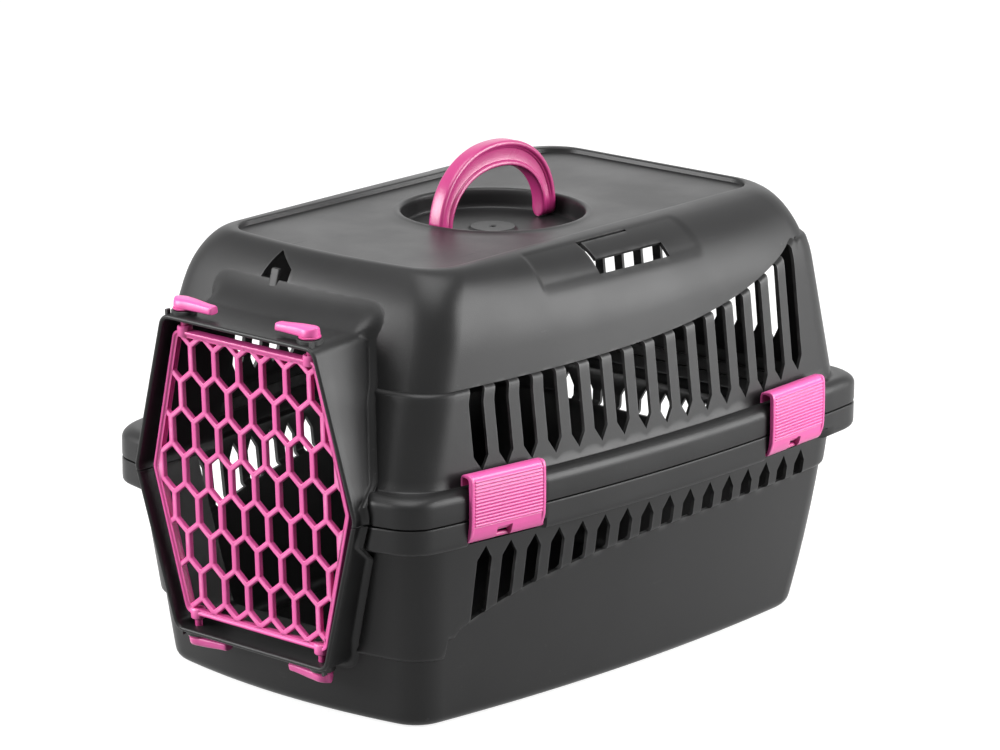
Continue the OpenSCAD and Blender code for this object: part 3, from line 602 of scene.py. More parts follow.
def lower_surface(z, line, near=0):
    """Levels of the base's outer surface: rim, thick wall, step and thin wall on the way down."""
    wall = grown(lower_levels(z), STEP * proud(z - line) * (z > line) * (1 - near))
    share = 1 - (1 - np.interp(-z, -FLANGE[:, 0], FLANGE[:, 1])) * (1 - near)
    return np.where(z > FLANGE_END, blend(rim_levels(z), wall, share), wall)


low_heights = flat_rows(FLANGE[:, 0]) + rows_between(FLANGE_END, slot_high, (0.5, 1))
first_low_slot = len(low_heights) - 1 + len(LIP)
low_heights += rows_between(slot_high, low_line + 3, (0.2, 0.4, 0.6, 0.8, 0.92, 1))
low_heights += [low_line + d for d in (2, 1.2, 0.5, 0.1, 0)]
last_low_slot = len(low_heights) - 1 + len(LIP)
sill_row = last_low_slot + 2
low_heights += rows_between(low_line, 12, (0.06, 0.162, 0.35, 0.6, 0.8, 1))
low_heights = np.array(low_heights + flat_rows((9, 7, 5.2, 3.6, 2.2, 1.1, 0.4, 0.08, 0)))
low_levels = lower_surface(low_heights, low_line, beside)
# The hinge rods of the clips turn in notches under the flange, and the plates lie in pockets 1 mm deep
cut = np.where(low_heights < 128.2, 5.6 * ramp(low_heights, 121.2, 121.6), 1.0) * (low_heights > 118)
low_levels = grown(low_levels, -cut * behind_clip * is_side)
lip_heights = np.repeat(LIP[:, :1], COLUMNS, 1)
lip = blend(rim_levels(lip_heights), grown(lower_levels(lip_heights), STEP), LIP[:, 1:])
low_levels, low_heights = np.concatenate([lip, low_levels], 1), np.vstack([lip_heights, low_heights])
low_opening = opening_below(np.clip(low_heights, 40, 142))
print("rows of the base down to its underside", len(low_heights))


def lower_half(side):
    """Points of one half of the base: the wall, the underside's edge and the floor towards its middle."""
    x, y = outline(low_levels, low_opening, 0)
    points = [np.stack([side * x, y, low_heights], -1)]
    for inset, z in FLOOR:
        x, y = outline(grown(low_levels[:, -1:], -inset), low_opening[-1:], 0)
        points.append(np.stack([side * x, y, np.full_like(x, z)], -1))
    last = points[-1]
    for share in (0.8, 0.55, 0.3, 0.1, 0):
        points.append(np.stack([last[..., 0] * share, 10 + (last[..., 1] - 10) * share, last[..., 2]], -1))
    points = np.concatenate(points)
    keep = np.ones((len(points) - 1, COLUMNS - 1), bool)
    keep[first_low_slot:last_low_slot, slot_cell] = False
    keep[:sill_row, inner_cells] = False
    return points, keep, side > 0


# %% [markdown]
# Small parts of the mouldings: a ring on the ledge under each latch with a stop beside it, and the tongue in
# the hook opening. A ring is a profile turned round an axis. The tongue is a row of superellipses.

# %% Rings, stops and tongue
STOP_X, TONGUE_FOOT = 60.6, 258.0


def turned(profile, n=32):
    """A profile of (radius, height) turned round the z axis, as a grid of points."""
    r, z = np.array(profile, float).T
    a = np.linspace(0, 2 * np.pi, n + 1)
    return np.stack([r[:, None] * np.cos(a), r[:, None] * np.sin(a), z[:, None] + 0 * a], -1)


def latch_rings(rise):
    """The two rings on the ledge that the latches' hubs turn on, and a small stop beside each."""
    ring = [[3.0, 103.6], [3.0, 107.2], [3.3, 107.5], [7.7, 107.5], [8.1, 107.1], [8.1, 103.6], [3.0, 103.6]]
    stop = np.array([[-1, 103.6], [-1, 107.6], [-0.7, 107.9], [0.7, 107.9], [1, 107.6], [1, 103.6]])
    sheets = []
    for side in (1, -1):
        sheets.append((leaned(turned(ring) * [1, 1, rise] + [side * PEG_X, PEG_DEPTH, 0]), None, rise > 0))
        x, z = side * (STOP_X + stop[:, 0]), rise * stop[:, 1]
        grid = np.stack([np.stack([x, np.full(len(x), depth), z], -1) for depth in (-4.5, -1.5)])
        caps = [np.broadcast_to(face.mean(1, keepdims=True), face.shape) for face in (grid[:1], grid[1:])]
        grid = np.concatenate([caps[0], grid, caps[1]])
        sheets.append((leaned(np.concatenate([grid, grid[:, :1]], 1)), None, side * rise < 0))
    return sheets


def tongue():
    """The tongue in the hook opening: rounded rectangles |x/w|^5 + |y/d|^5 = 1 along the lean of the wall."""
    s = np.array([0, 0, 0.4, 1.2, 3, 7, 11, 14, 14.7, 15, 15])[:, None]
    size = np.array([0, 0.8, 0.95, 1, 1, 1, 1, 1, 0.93, 0.75, 0])[:, None]
    a = np.linspace(0, 2 * np.pi, 25)
    rounded = lambda v: np.sign(v) * np.abs(v) ** 0.4
    foot = wall_y(HOOK_X, np.array([TONGUE_FOOT]), upper_levels)[0] + 1.5
    x = HOOK_X + 3.4 * size * rounded(np.cos(a))
    y = foot + 0.3 * s + 1.2 * size * rounded(np.sin(a))
    return [(np.stack([x, y, TONGUE_FOOT + s + 0 * x], -1), None, True)]


def shell(name, halves, tube, small):
    """Joins the walled sheet, the tunnel and the small parts of one shell in one mesh."""
    parts = [walled(*merged(halves), WALL), tube, merged(small)]
    starts = np.cumsum([0] + [len(points) for points, faces in parts[:-1]])
    return make_mesh(name, np.vstack([points for points, faces in parts]),
                     np.vstack([faces + start for (points, faces), start in zip(parts, starts)]))


upper_shell = shell("upper_shell_moulding", [upper_half(1), upper_half(-1)],
                    tunnel_shell(1, 138.9, lambda z: upper_surface(z, upper_step(-200)), 66, 3.5, 16),
                    latch_rings(1) + tongue())
base_shell = shell("base_shell_moulding", [lower_half(1), lower_half(-1)],
                   tunnel_shell(-1, 138.1, lambda z: lower_surface(z, lower_step(-200)), 46, 3.5, 5),
                   latch_rings(-1))
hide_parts("upper_shell")
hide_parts("base_shell")
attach(upper_shell, "upper")
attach(base_shell, "base")

# %% [markdown]
# The door is a flat grille in a raised six-cornered frame. A cell of the grille is the set of points on the
# inner side of a few straight lines, so its edge in any direction is the nearest of those lines. Each cell
# becomes a ring with chamfered edges. The frame is one profile carried round the door's rounded outline.

# %% Door
DOOR_HIGH, DOOR_WIDE, DOOR_NARROW = 188.0, 167.0, 120.0
DOOR_SLANT = math.atan2((DOOR_WIDE - DOOR_NARROW) / 2, DOOR_HIGH / 2)
# Distance between cells, the middle of the first one, and the depths of the grille's front and back
CELL_WIDE, CELL_HIGH, CELL_START = 20.0, 25.0, (13.0, 1.5)
GRILLE_FRONT, GRILLE_BACK = 1.0, 4.4


def hexagon_path(narrow, wide, high, radius, per_corner=6):
    """Closed rounded hexagon: points and outward normals, arcs at the corners, straight lines between them."""
    slant = math.atan2((wide - narrow) / 2, high / 2)
    n = np.array([[0, 1], [math.cos(slant), math.sin(slant)], [math.cos(slant), -math.sin(slant)],
                  [0, -1], [-math.cos(slant), -math.sin(slant)], [-math.cos(slant), math.sin(slant)]])
    c = np.array([high / 2, wide / 2 * math.cos(slant), wide / 2 * math.cos(slant)] * 2)
    following = np.roll(n, -1, 0)
    meeting = np.stack([c, np.roll(c, -1)], 1) - radius
    centres = np.stack([np.linalg.solve(np.stack([n[i], following[i]]), meeting[i]) for i in range(6)])
    turn = np.arctan2(n[:, 1], n[:, 0])
    step = (np.arctan2(following[:, 1], following[:, 0]) - turn + np.pi) % (2 * np.pi) - np.pi
    a = turn[:, None] + step[:, None] * np.linspace(0, 1, per_corner)
    normals = np.stack([np.cos(a), np.sin(a)], -1)
    return (centres[:, None] + radius * normals).reshape(-1, 2), normals.reshape(-1, 2)


def swept(path, normals, profile, place=lambda p: p):
    """Carries a closed profile of (inset, depth) round a closed path of (x, z)."""
    inset, depth = np.array(profile, float).T
    flat = path[None] - inset[:, None, None] * normals[None]
    grid = np.stack([flat[..., 0], np.broadcast_to(depth[:, None], flat.shape[:2]), flat[..., 1]], -1)
    grid = np.concatenate([grid, grid[:1]])
    return place(np.concatenate([grid, grid[:, :1]], 1))


def grille_cell(column, row):
    """Ring round one cell, or None where the frame leaves no room for it."""
    shift = 0 if row % 2 == 0 else 0.5
    centre = np.array([(column + shift) * CELL_WIDE + CELL_START[0], row * CELL_HIGH + CELL_START[1]])
    s = math.atan(0.8)
    honey = np.array([[1, 0], [-1, 0], [math.sin(s), math.cos(s)], [-math.sin(s), math.cos(s)],
                      [math.sin(s), -math.cos(s)], [-math.sin(s), -math.cos(s)]])
    centre_line = np.array([CELL_WIDE / 2] * 2 + [16.5 * math.cos(s)] * 4)
    half_bar = np.array([2.05] * 2 + [1.75] * 4)
    slanted = [[a * math.cos(DOOR_SLANT), b * math.sin(DOOR_SLANT)] for a in (1, -1) for b in (1, -1)]
    frame_n = np.array([[0, 1], [0, -1]] + slanted)
    frame_c = np.array([DOOR_HIGH / 2] * 2 + [DOOR_WIDE / 2 * math.cos(DOOR_SLANT)] * 4)
    n = np.vstack([honey, frame_n])
    hole = np.concatenate([centre_line - half_bar + honey @ centre, frame_c - 3.7])
    whole = np.concatenate([centre_line + honey @ centre, frame_c - 1.6])

    def corners(c):
        """Points where two of the lines n . p = c meet and that lie on the inner side of all the others."""
        a, b = np.triu_indices(len(n), 1)
        det = n[a, 0] * n[b, 1] - n[a, 1] * n[b, 0]
        ok = np.abs(det) > 1e-6
        a, b, det = a[ok], b[ok], det[ok]
        p = np.stack([(c[a] * n[b, 1] - c[b] * n[a, 1]) / det, (n[a, 0] * c[b] - n[b, 0] * c[a]) / det], 1)
        return p[((p @ n.T) <= c + 1e-6).all(1)]

    inside = corners(hole)
    if len(inside) < 3 or min(np.ptp(inside[:, 0]), np.ptp(inside[:, 1])) < 2.6:
        outside = corners(whole)
        if len(outside) < 3 or min(np.ptp(outside[:, 0]), np.ptp(outside[:, 1])) < 0.5:
            return None
        inside, hole = outside, None
    middle = inside.mean(0)
    around = np.vstack([inside, corners(whole)]) - middle
    angles = np.concatenate([np.arctan2(around[:, 1], around[:, 0]), np.radians(np.arange(-180, 180, 15))])
    angles = np.unique(np.round(angles, 4))
    direction = np.stack([np.cos(angles), np.sin(angles)], 1)
    along = direction @ n.T

    def ring(c, depth):
        """The edge in each direction at a depth: the nearest of the lines that the direction runs towards."""
        reach = np.where(along > 1e-6, (c - n @ middle) / np.maximum(along, 1e-6), 1e9).min(1)
        p = middle + direction * reach[:, None]
        return np.stack([p[:, 0], np.full(len(p), depth), p[:, 1]], 1)

    top, bottom = GRILLE_FRONT, GRILLE_BACK
    if hole is None:
        hub = lambda depth: np.tile([[middle[0], depth, middle[1]]], (len(angles), 1))
        rings = [hub(bottom), ring(whole, bottom), ring(whole, top), hub(top)]
    else:
        chamfer = ((0.75, top), (0.3, top + 0.12), (0.06, top + 0.4), (0, top + 0.9), (0, bottom - 0.5),
                   (0.4, bottom))
        rings = [ring(whole, bottom), ring(whole, top)]
        rings += [ring(hole + wider, depth) for wider, depth in chamfer] + [ring(whole, bottom)]
    rings = np.array(rings)
    return leaned(np.concatenate([rings, rings[:, :1]], 1))


path, normals = hexagon_path(DOOR_NARROW, DOOR_WIDE, DOOR_HIGH, 6.0)
# Inset and depth of the frame's profile
FRAME = [[0, 7.0], [0, 0.8], [0.12, 0.35], [0.4, 0.08], [0.8, 0], [1.35, 0], [1.8, 0.1], [2.1, 0.4],
         [2.3, 0.85], [2.7, GRILLE_FRONT], [4.0, GRILLE_FRONT], [4.0, GRILLE_BACK], [2.5, GRILLE_BACK],
         [2.3, 7.1], [2.0, 7.5], [0.4, 7.5]]
door_sheets = [(swept(path, normals, FRAME, leaned), None, False)]
cells = [grille_cell(column, row) for row in range(-4, 5) for column in range(-6, 6)]
cells = [cell for cell in cells if cell is not None]
door_sheets += [(cell, None, False) for cell in cells]
# Radius and height of a boss that takes a latch's pin
BOSS = [[2.85, 90.2], [2.85, 96.6], [3.2, 97], [4.2, 97], [4.75, 96.5], [4.9, 95.6], [4.9, 91], [4.4, 90.2],
        [2.85, 90.2]]
for side in (1, -1):
    for rise in (1, -1):
        boss = turned(BOSS) * [1, 1, rise] + [side * PEG_X, PEG_DEPTH, 0]
        door_sheets.append((leaned(boss), None, rise > 0))
print("grille cells", len(cells))
door = make_mesh("door_grille", *merged(door_sheets, 0.0005))
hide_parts("door")
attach(door, "door")

# %% [markdown]
# A latch is a turning peg: a lever with bevelled sides on a round hub, and a pin that reaches through the
# ledge into the door's boss. The lever is a row of cross-sections, each a rounded rectangle (a
# superellipse), whose width follows the hub's circle and then tapers to the tip.


# %% Latches
def lever(length=26.0, hub=6.6):
    """Cross-sections |y/w|^n + |z/h|^n = 1 with n = 4.5, w(x) from the hub's circle to the tapered bar."""
    tip = [length - 1.4, length - 0.6, length - 0.15, length, length]
    x = np.concatenate([-hub * np.cos(np.radians([0, 12, 25, 40, 55, 72, 90])), [3, 6, 9, 13, 18, 22], tip])
    circle = np.sqrt(np.maximum(hub**2 - x**2, 0))
    wide = np.where(x <= 0, circle, np.maximum(5.6 - 1.5 * ramp(x, 0, 22), circle))
    wide = wide - np.interp(x, tip[:4], [0, 0.2, 0.6, 1.1])
    wide[-1] = 0
    high = 6.6 - 1.4 * ramp(x, 4, length) - np.interp(x, [length - 1.4, length - 0.15, length], [0, 0.3, 0.8])
    high[-1] = 0
    a = np.linspace(0, 2 * np.pi, 33)
    rounded = lambda v: np.sign(v) * np.abs(v) ** (2 / 4.5)
    y = wide[:, None] * rounded(np.cos(a))
    z = high[:, None] * (1 + rounded(np.sin(a))) / 2
    top = np.clip(z / np.maximum(high[:, None], 1e-6), 0, 1)
    y = y * (1 - 0.22 * top**2)
    return np.stack([x[:, None] + 0 * y, y, z], -1)


# A hub turns on its ring on the ledge, 2.6 mm high, with 0.3 mm between them
HUB_Z = LEDGE + 2.6 + 0.3
PIN = [[0, 91.0], [2.0, 91.0], [2.5, 91.5], [2.5, HUB_Z + 0.5], [0, HUB_Z + 0.5]]
HUB = [[0, HUB_Z], [6.6, HUB_Z], [7, HUB_Z + 0.3], [7, HUB_Z + 1.0], [6.7, HUB_Z + 1.3], [0, HUB_Z + 1.3]]
for side in (-1, 1):
    for rise in (1, -1):
        flip = np.array([-side, 1, rise])
        place = np.array([side * PEG_X, PEG_DEPTH, 0])
        turned_over = side * rise > 0
        sheets = [(leaned((lever() + [0, 0, HUB_Z + 0.4]) * flip + place), None, turned_over)]
        sheets += [(leaned(turned(p) * flip + place), None, not turned_over) for p in (PIN, HUB)]
        name = "latch_%s_%s" % ("top" if rise > 0 else "bottom", "left" if side < 0 else "right")
        piece = make_mesh(name + "_peg", *merged(sheets))
        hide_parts(name)
        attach(piece, name)

# %% [markdown]
# A clip is one curved plate: its foot curls under the flange to the hinge rod, its face bulges over both
# rims with fourteen grip ribs between two raised edges, and its top rolls over the bead. The side view is a
# path; the width is the other parameter, and the ribs are a wave along the path that stops short of the
# edges.


# %% Clips
def smooth_path(points, n):
    """Even steps along a polyline, rounded by averaging each point with its neighbours a few times."""
    points = np.array(points, float)
    length = np.concatenate([[0], np.cumsum(np.hypot(*np.diff(points, axis=0).T))])
    even = np.linspace(0, length[-1], n)
    p = np.stack([np.interp(even, length, points[:, i]) for i in (0, 1)], 1)
    for _ in range(14):
        p[1:-1] = (p[:-2] + 2 * p[1:-1] + p[2:]) / 4
    return p


# Side view of the plate's outer face, as distance outwards from the rim and height
FACE = [[-3.6, 123.9], [-1.2, 123.9], [0.8, 126.5], [1.9, 130], [2.5, 135], [2.75, 143], [2.6, 155],
        [2.3, 163.5], [1.6, 166], [0.2, 167.1], [-2, 167.5], [-5, 167.3], [-7.2, 166.2], [-8, 163.8],
        [-8, 159.6]]
RIBS, RIBS_FROM, RIBS_TO = 14, 134.4, 164.4
ROD_OUT, ROD_Z = -3.6, 125
clip_path = smooth_path(FACE, 230)
clip_along = np.gradient(clip_path, axis=0)
clip_along /= np.linalg.norm(clip_along, axis=1, keepdims=True)
clip_normal = np.stack([clip_along[:, 1], -clip_along[:, 0]], 1)
clip_z = clip_path[:, 1]
phase = (clip_z - RIBS_FROM) / ((RIBS_TO - RIBS_FROM) / RIBS)
ribbed = (clip_path[:, 0] > 1.0) * ramp(clip_z, 133.8, RIBS_FROM) * (1 - ramp(clip_z, RIBS_TO, 165.0))
rib = ribbed * (np.abs(np.sin(np.pi * (phase % 1))) ** 0.55 * 0.95 - 0.2)
clip_edge = np.array([26, 26.8, 27.2, 27.6, 27.9, 28.5, 29.2, 29.7, 29.95, 30])
clip_middle = [-20, -12, -8.2, -7.9, -7.6, -2, 3.4, 3.7, 4.0, 4.3, 12, 20]
across = np.concatenate([-clip_edge[::-1], clip_middle, clip_edge])
edge_round = np.interp(np.abs(across), [29.2, 29.7, 29.95, 30], [0, 0.12, 0.4, 0.7])
inside = 1 - ramp(np.abs(across), 26.8, 27.6)
raised_edge = 0.62 * ramp(np.abs(across), 27.2, 27.9)
edge_share = ramp(clip_path[:, 0], -3, 1.5)[:, None] * ramp(clip_z, 127, 134)[:, None]
relief = rib[:, None] * inside + raised_edge * edge_share - edge_round
notch = ramp(across, -8.2, -7.6) * (1 - ramp(across, 3.4, 4.0))
thick = 2.3 - 0.7 * ramp(clip_path[:, 0], -1, -7) - 0.6 * (1 - ramp(clip_z, 124, 128))


def clip_faces(y0, side):
    """Faces and ends of the plate and its hinge rod, in the frame of the rim at y0 and turned with its bow."""
    outer_face = clip_path[:, None] + clip_normal[:, None] * relief[..., None]
    inner_face = clip_path[:, None] - clip_normal[:, None] * (thick[:, None] - edge_round * 0.6)[..., None]
    # The notch: between its ends the lower edge is lifted by 4.4 mm
    lift = 4.4 * notch[None] * (1 - ramp(clip_z, 129.5, 131.5))[:, None]
    turn = math.atan(2 * SIDE_RATE * (WIDEST - y0))
    rim = HALF_RIM - SIDE_RATE * (y0 - WIDEST) ** 2

    def world(o, z, w):
        """From out past the rim, height and place across the clip to x, y and z."""
        x = rim + o * math.cos(turn) + w * math.sin(turn)
        return np.stack([side * x, y0 - o * math.sin(turn) + w * math.cos(turn), z], -1)

    w = np.broadcast_to(across, relief.shape)
    front_sheet = world(outer_face[..., 0], outer_face[..., 1] + lift, w)
    back_sheet = world(inner_face[..., 0], inner_face[..., 1] + lift, w)
    loop = np.concatenate([front_sheet, back_sheet[::-1], front_sheet[:1]])
    sheets = [(loop, None, side < 0)]
    for end, flip in ((0, side > 0), (-1, side < 0)):
        sheets.append((np.stack([front_sheet[:, end], back_sheet[:, end]], 0), None, flip))
    rod = turned([[0, -32.6], [1.3, -32.6], [1.6, -32.2], [1.6, 32.2], [1.3, 32.6], [0, 32.6]], 20)
    sheets.append((world(rod[..., 0] + ROD_OUT, rod[..., 1] + ROD_Z, rod[..., 2]), None, side < 0))
    return sheets


for where, y0 in CLIP_PLACES.items():
    for hand, side in (("right", 1), ("left", -1)):
        name = "clip_%s_%s" % (where, hand)
        piece = make_mesh(name + "_plate", *merged(clip_faces(y0, side)))
        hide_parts(name)
        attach(piece, name)

# %% [markdown]
# The handle is an arch between two superellipses, |y/a|^p + |z/b|^p = 1, thicker at the top than at its
# feet. Its section is like a rail: a broad outer flange, a thin web and a narrower inner flange, so each
# side has a groove.


# %% Handle
ARCH_REACH, ARCH_RISE, ARCH_POWER, FOOT_ROUND = 58.5, 52.5, 2 / 2.15, 5.75
# Distance from the outer edge and half width of the rail's outer part, then distance from the inner edge and
# half width of its inner part
RAIL_OUTER = np.array([[0, 0, 0.25, 0.8, 1.7, 2.7, 3.5, 3.9, 4.15, 4.7, 5.1, 5.4, 6.2],
                       [0, 3.6, 4.6, 5.35, 5.72, 5.7, 5.3, 4.7, 4.3, 4.15, 3.7, 3.3, 3.15]])
RAIL_INNER = np.array([[4.6, 3.9, 3.6, 3.2, 2.6, 1.8, 0.9, 0.3, 0, 0],
                       [3.15, 3.3, 3.9, 4.5, 5.0, 5.25, 5.1, 4.5, 3.4, 0]])
# The pivot lies half a bar and half a millimetre above the floor of the dish
PIVOT_Z = PANEL - 12.5 + 11.5 / 2 + 0.5


def handle_grid():
    """Sections along the arch (rows) and round the rail section (columns), in the dish's frame."""
    t = np.radians(np.concatenate([np.linspace(0, 12, 9), np.linspace(15, 165, 51), np.linspace(168, 180, 9)]))
    foot = np.radians([88, 75, 60, 45, 30, 15])
    drop, narrow = FOOT_ROUND * np.sin(foot), np.cos(foot)

    def arch(reach, rise):
        """One edge of the arch, with its two rounded feet below the pivots."""
        y = np.sign(np.cos(t)) * np.abs(np.cos(t)) ** ARCH_POWER
        c = np.stack([reach * y, rise * np.abs(np.sin(t)) ** ARCH_POWER], 1)
        return np.concatenate([np.stack([c[0, 0] + 0 * drop, -drop], 1), c,
                               np.stack([c[-1, 0] + 0 * drop, -drop[::-1]], 1)])

    out, inn = arch(ARCH_REACH, ARCH_RISE), arch(ARCH_REACH - 13, ARCH_RISE - 17)
    scale = np.concatenate([narrow, np.ones(len(t)), narrow[::-1]])[:, None]
    deep = np.hypot(*(inn - out).T)[:, None]
    closing = (1 - 0.55 * (1 - ramp(out[:, 1], 2, 22)))[:, None]
    half_d = np.concatenate([RAIL_OUTER[0] + 0 * deep, deep - RAIL_INNER[0]], 1)
    half_w = np.concatenate([RAIL_OUTER[1], RAIL_INNER[1]])[None]
    # Near the feet the grooves close: the web's width goes back to that of a full bar
    stations = half_w.shape[1]
    full = np.interp(np.arange(stations), [0, 4, stations - 5, stations - 1], [0, 5.7, 5.2, 0])
    web = (half_w < 5.0) & (np.arange(stations) > 4) & (np.arange(stations) < stations - 4)
    half_w = np.where(web, full + (half_w - full) * closing, half_w) * scale
    d_all = np.concatenate([half_d, half_d[:, -2:0:-1]], 1)
    w_all = np.concatenate([half_w, -half_w[:, -2:0:-1]], 1)
    d_all, w_all = np.concatenate([d_all, d_all[:, :1]], 1), np.concatenate([w_all, w_all[:, :1]], 1)
    share = d_all / deep
    y = out[:, :1] + (inn[:, :1] - out[:, :1]) * share
    z = out[:, 1:] + (inn[:, 1:] - out[:, 1:]) * share
    grid = np.stack([w_all, y, z], -1)
    ends = [np.broadcast_to(grid[i].mean(0), grid[i].shape)[None] for i in (0, -1)]
    return np.concatenate([ends[0], grid, ends[1]])


sheets = [(handle_grid() + [0, DISH_Y, PIVOT_Z], None, False)]
for side in (1, -1):
    pin = turned([[0, 50], [2.6, 50], [2.6, 62.6], [2.3, 63.1], [0, 63.1]], 24)[..., [1, 2, 0]] * [1, side, 1]
    sheets.append((pin + [0, DISH_Y, PIVOT_Z], None, side > 0))
handle = make_mesh("handle_arch", *merged(sheets))
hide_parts("carry_handle")
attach(handle, "handle")

# %% [markdown]
# Moulded plastic looks real through small things: a fine even grain from the mould, a soft sheen that is
# never quite uniform, lighter rubbed edges that also carry a painted highlight, creases darkened with painted
# shade, and a few faint scuffs. Each of these is a node group with named inputs and outputs, so that the
# shells and the coloured pieces can use it at their own scale.


# %% Effects as node groups
def node_group(name, inputs, outputs):
    """An empty shader group with float inputs (name, value) and the named float outputs."""
    group = bpy.data.node_groups.new(name, "ShaderNodeTree")
    for label, value in inputs:
        socket = group.interface.new_socket(label, in_out="INPUT", socket_type="NodeSocketFloat")
        socket.default_value = value
    for label in outputs:
        group.interface.new_socket(label, in_out="OUTPUT", socket_type="NodeSocketFloat")
    return group, group.nodes.new("NodeGroupInput"), group.nodes.new("NodeGroupOutput")


def noise(tree, vector, scale, detail=2.0, roughness=0.5):
    """A noise texture's value. scale is a number or a socket."""
    node = tree.nodes.new("ShaderNodeTexNoise")
    node.inputs["Detail"].default_value = detail
    node.inputs["Roughness"].default_value = roughness
    if isinstance(scale, float):
        node.inputs["Scale"].default_value = scale
    else:
        tree.links.new(scale, node.inputs["Scale"])
    tree.links.new(vector, node.inputs["Vector"])
    return node.outputs["Fac"]


def spread(tree, value, low, high, to_low=0.0, to_high=1.0):
    """A smooth ramp of value from to_low at low to to_high at high."""
    node = tree.nodes.new("ShaderNodeMapRange")
    for k, v in enumerate((low, high, to_low, to_high)):
        node.inputs[k + 1].default_value = v
    node.interpolation_type = "SMOOTHSTEP"
    tree.links.new(value, node.inputs[0])
    return node.outputs[0]


def maths(tree, kind, a, b):
    """A math node of two numbers or sockets."""
    node = tree.nodes.new("ShaderNodeMath")
    node.operation = kind
    for k, v in enumerate((a, b)):
        if isinstance(v, (int, float)):
            node.inputs[k].default_value = v
        else:
            tree.links.new(v, node.inputs[k])
    return node.outputs[0]


def moulded_grain():
    """Height of the mould's grain: two noises, one of fine dimples and one of broader flow, added together."""
    tree, given, made = node_group("moulded_grain", [("Scale", 1500.0), ("Flow", 0.35)], ["Height"])
    place = tree.nodes.new("ShaderNodeTexCoord").outputs["Object"]
    fine = noise(tree, place, given.outputs["Scale"], 2.0)
    flow = noise(tree, place, 45.0, 3.0)
    height = maths(tree, "ADD", fine, maths(tree, "MULTIPLY", flow, given.outputs["Flow"]))
    tree.links.new(height, made.inputs["Height"])
    return tree


def edge_wear_and_painted_light():
    """Masks from the mesh's pointiness: sharp outward edges broken up by noise, which mark rubbed places and
    paint a highlight, and inward creases, which paint shade.
    """
    tree, given, made = node_group("edge_wear_and_painted_light", [("Amount", 1.0)], ["Edges", "Crease shade"])
    point = tree.nodes.new("ShaderNodeNewGeometry").outputs["Pointiness"]
    place = tree.nodes.new("ShaderNodeTexCoord").outputs["Object"]
    broken = spread(tree, noise(tree, place, 110.0, 4.0), 0.36, 0.62, 0.35, 1.0)
    # The edge mask lightens rubbed places and also paints a highlight along sharp outward edges.
    edges = maths(tree, "MULTIPLY", spread(tree, point, 0.53, 0.60), broken)
    # The crease mask from low pointiness is painted shade in concave places.
    for mask, label in ((edges, "Edges"), (spread(tree, point, 0.48, 0.42), "Crease shade")):
        tree.links.new(maths(tree, "MULTIPLY", mask, given.outputs["Amount"]), made.inputs[label])
    return tree


def handling():
    """Cloudy variation of the finish and thin scuffs, long noises stretched along the body and thresholded."""
    tree, given, made = node_group("handling", [("Scuffs", 1.0)], ["Cloud", "Scuffs"])
    place = tree.nodes.new("ShaderNodeTexCoord").outputs["Object"]
    tree.links.new(noise(tree, place, 14.0, 4.0, 0.55), made.inputs["Cloud"])
    marks = []
    for scale, turn in (((260.0, 16.0, 180.0), 0.3), ((30.0, 240.0, 210.0), -0.5)):
        mapping = tree.nodes.new("ShaderNodeMapping")
        mapping.inputs["Scale"].default_value = scale
        mapping.inputs["Rotation"].default_value = (0.2, turn, turn)
        tree.links.new(place, mapping.inputs["Vector"])
        marks.append(spread(tree, noise(tree, mapping.outputs["Vector"], 1.0, 2.0), 0.70, 0.78))
    where = spread(tree, noise(tree, place, 22.0, 2.0), 0.5, 0.66)
    both = maths(tree, "MULTIPLY", maths(tree, "MAXIMUM", *marks), where)
    tree.links.new(maths(tree, "MULTIPLY", both, given.outputs["Scuffs"]), made.inputs["Scuffs"])
    return tree


GRAIN, WEAR_AND_PAINTED_LIGHT, HANDLING = moulded_grain(), edge_wear_and_painted_light(), handling()

# %% [markdown]
# The materials put the effects together. Colour goes from the base colour towards a lighter one on rubbed
# edges, where it is also a painted highlight, and on scuffs, and towards a darker one in creases, which is
# painted shade. Roughness follows the clouds. The grain reaches the surface as a bump.


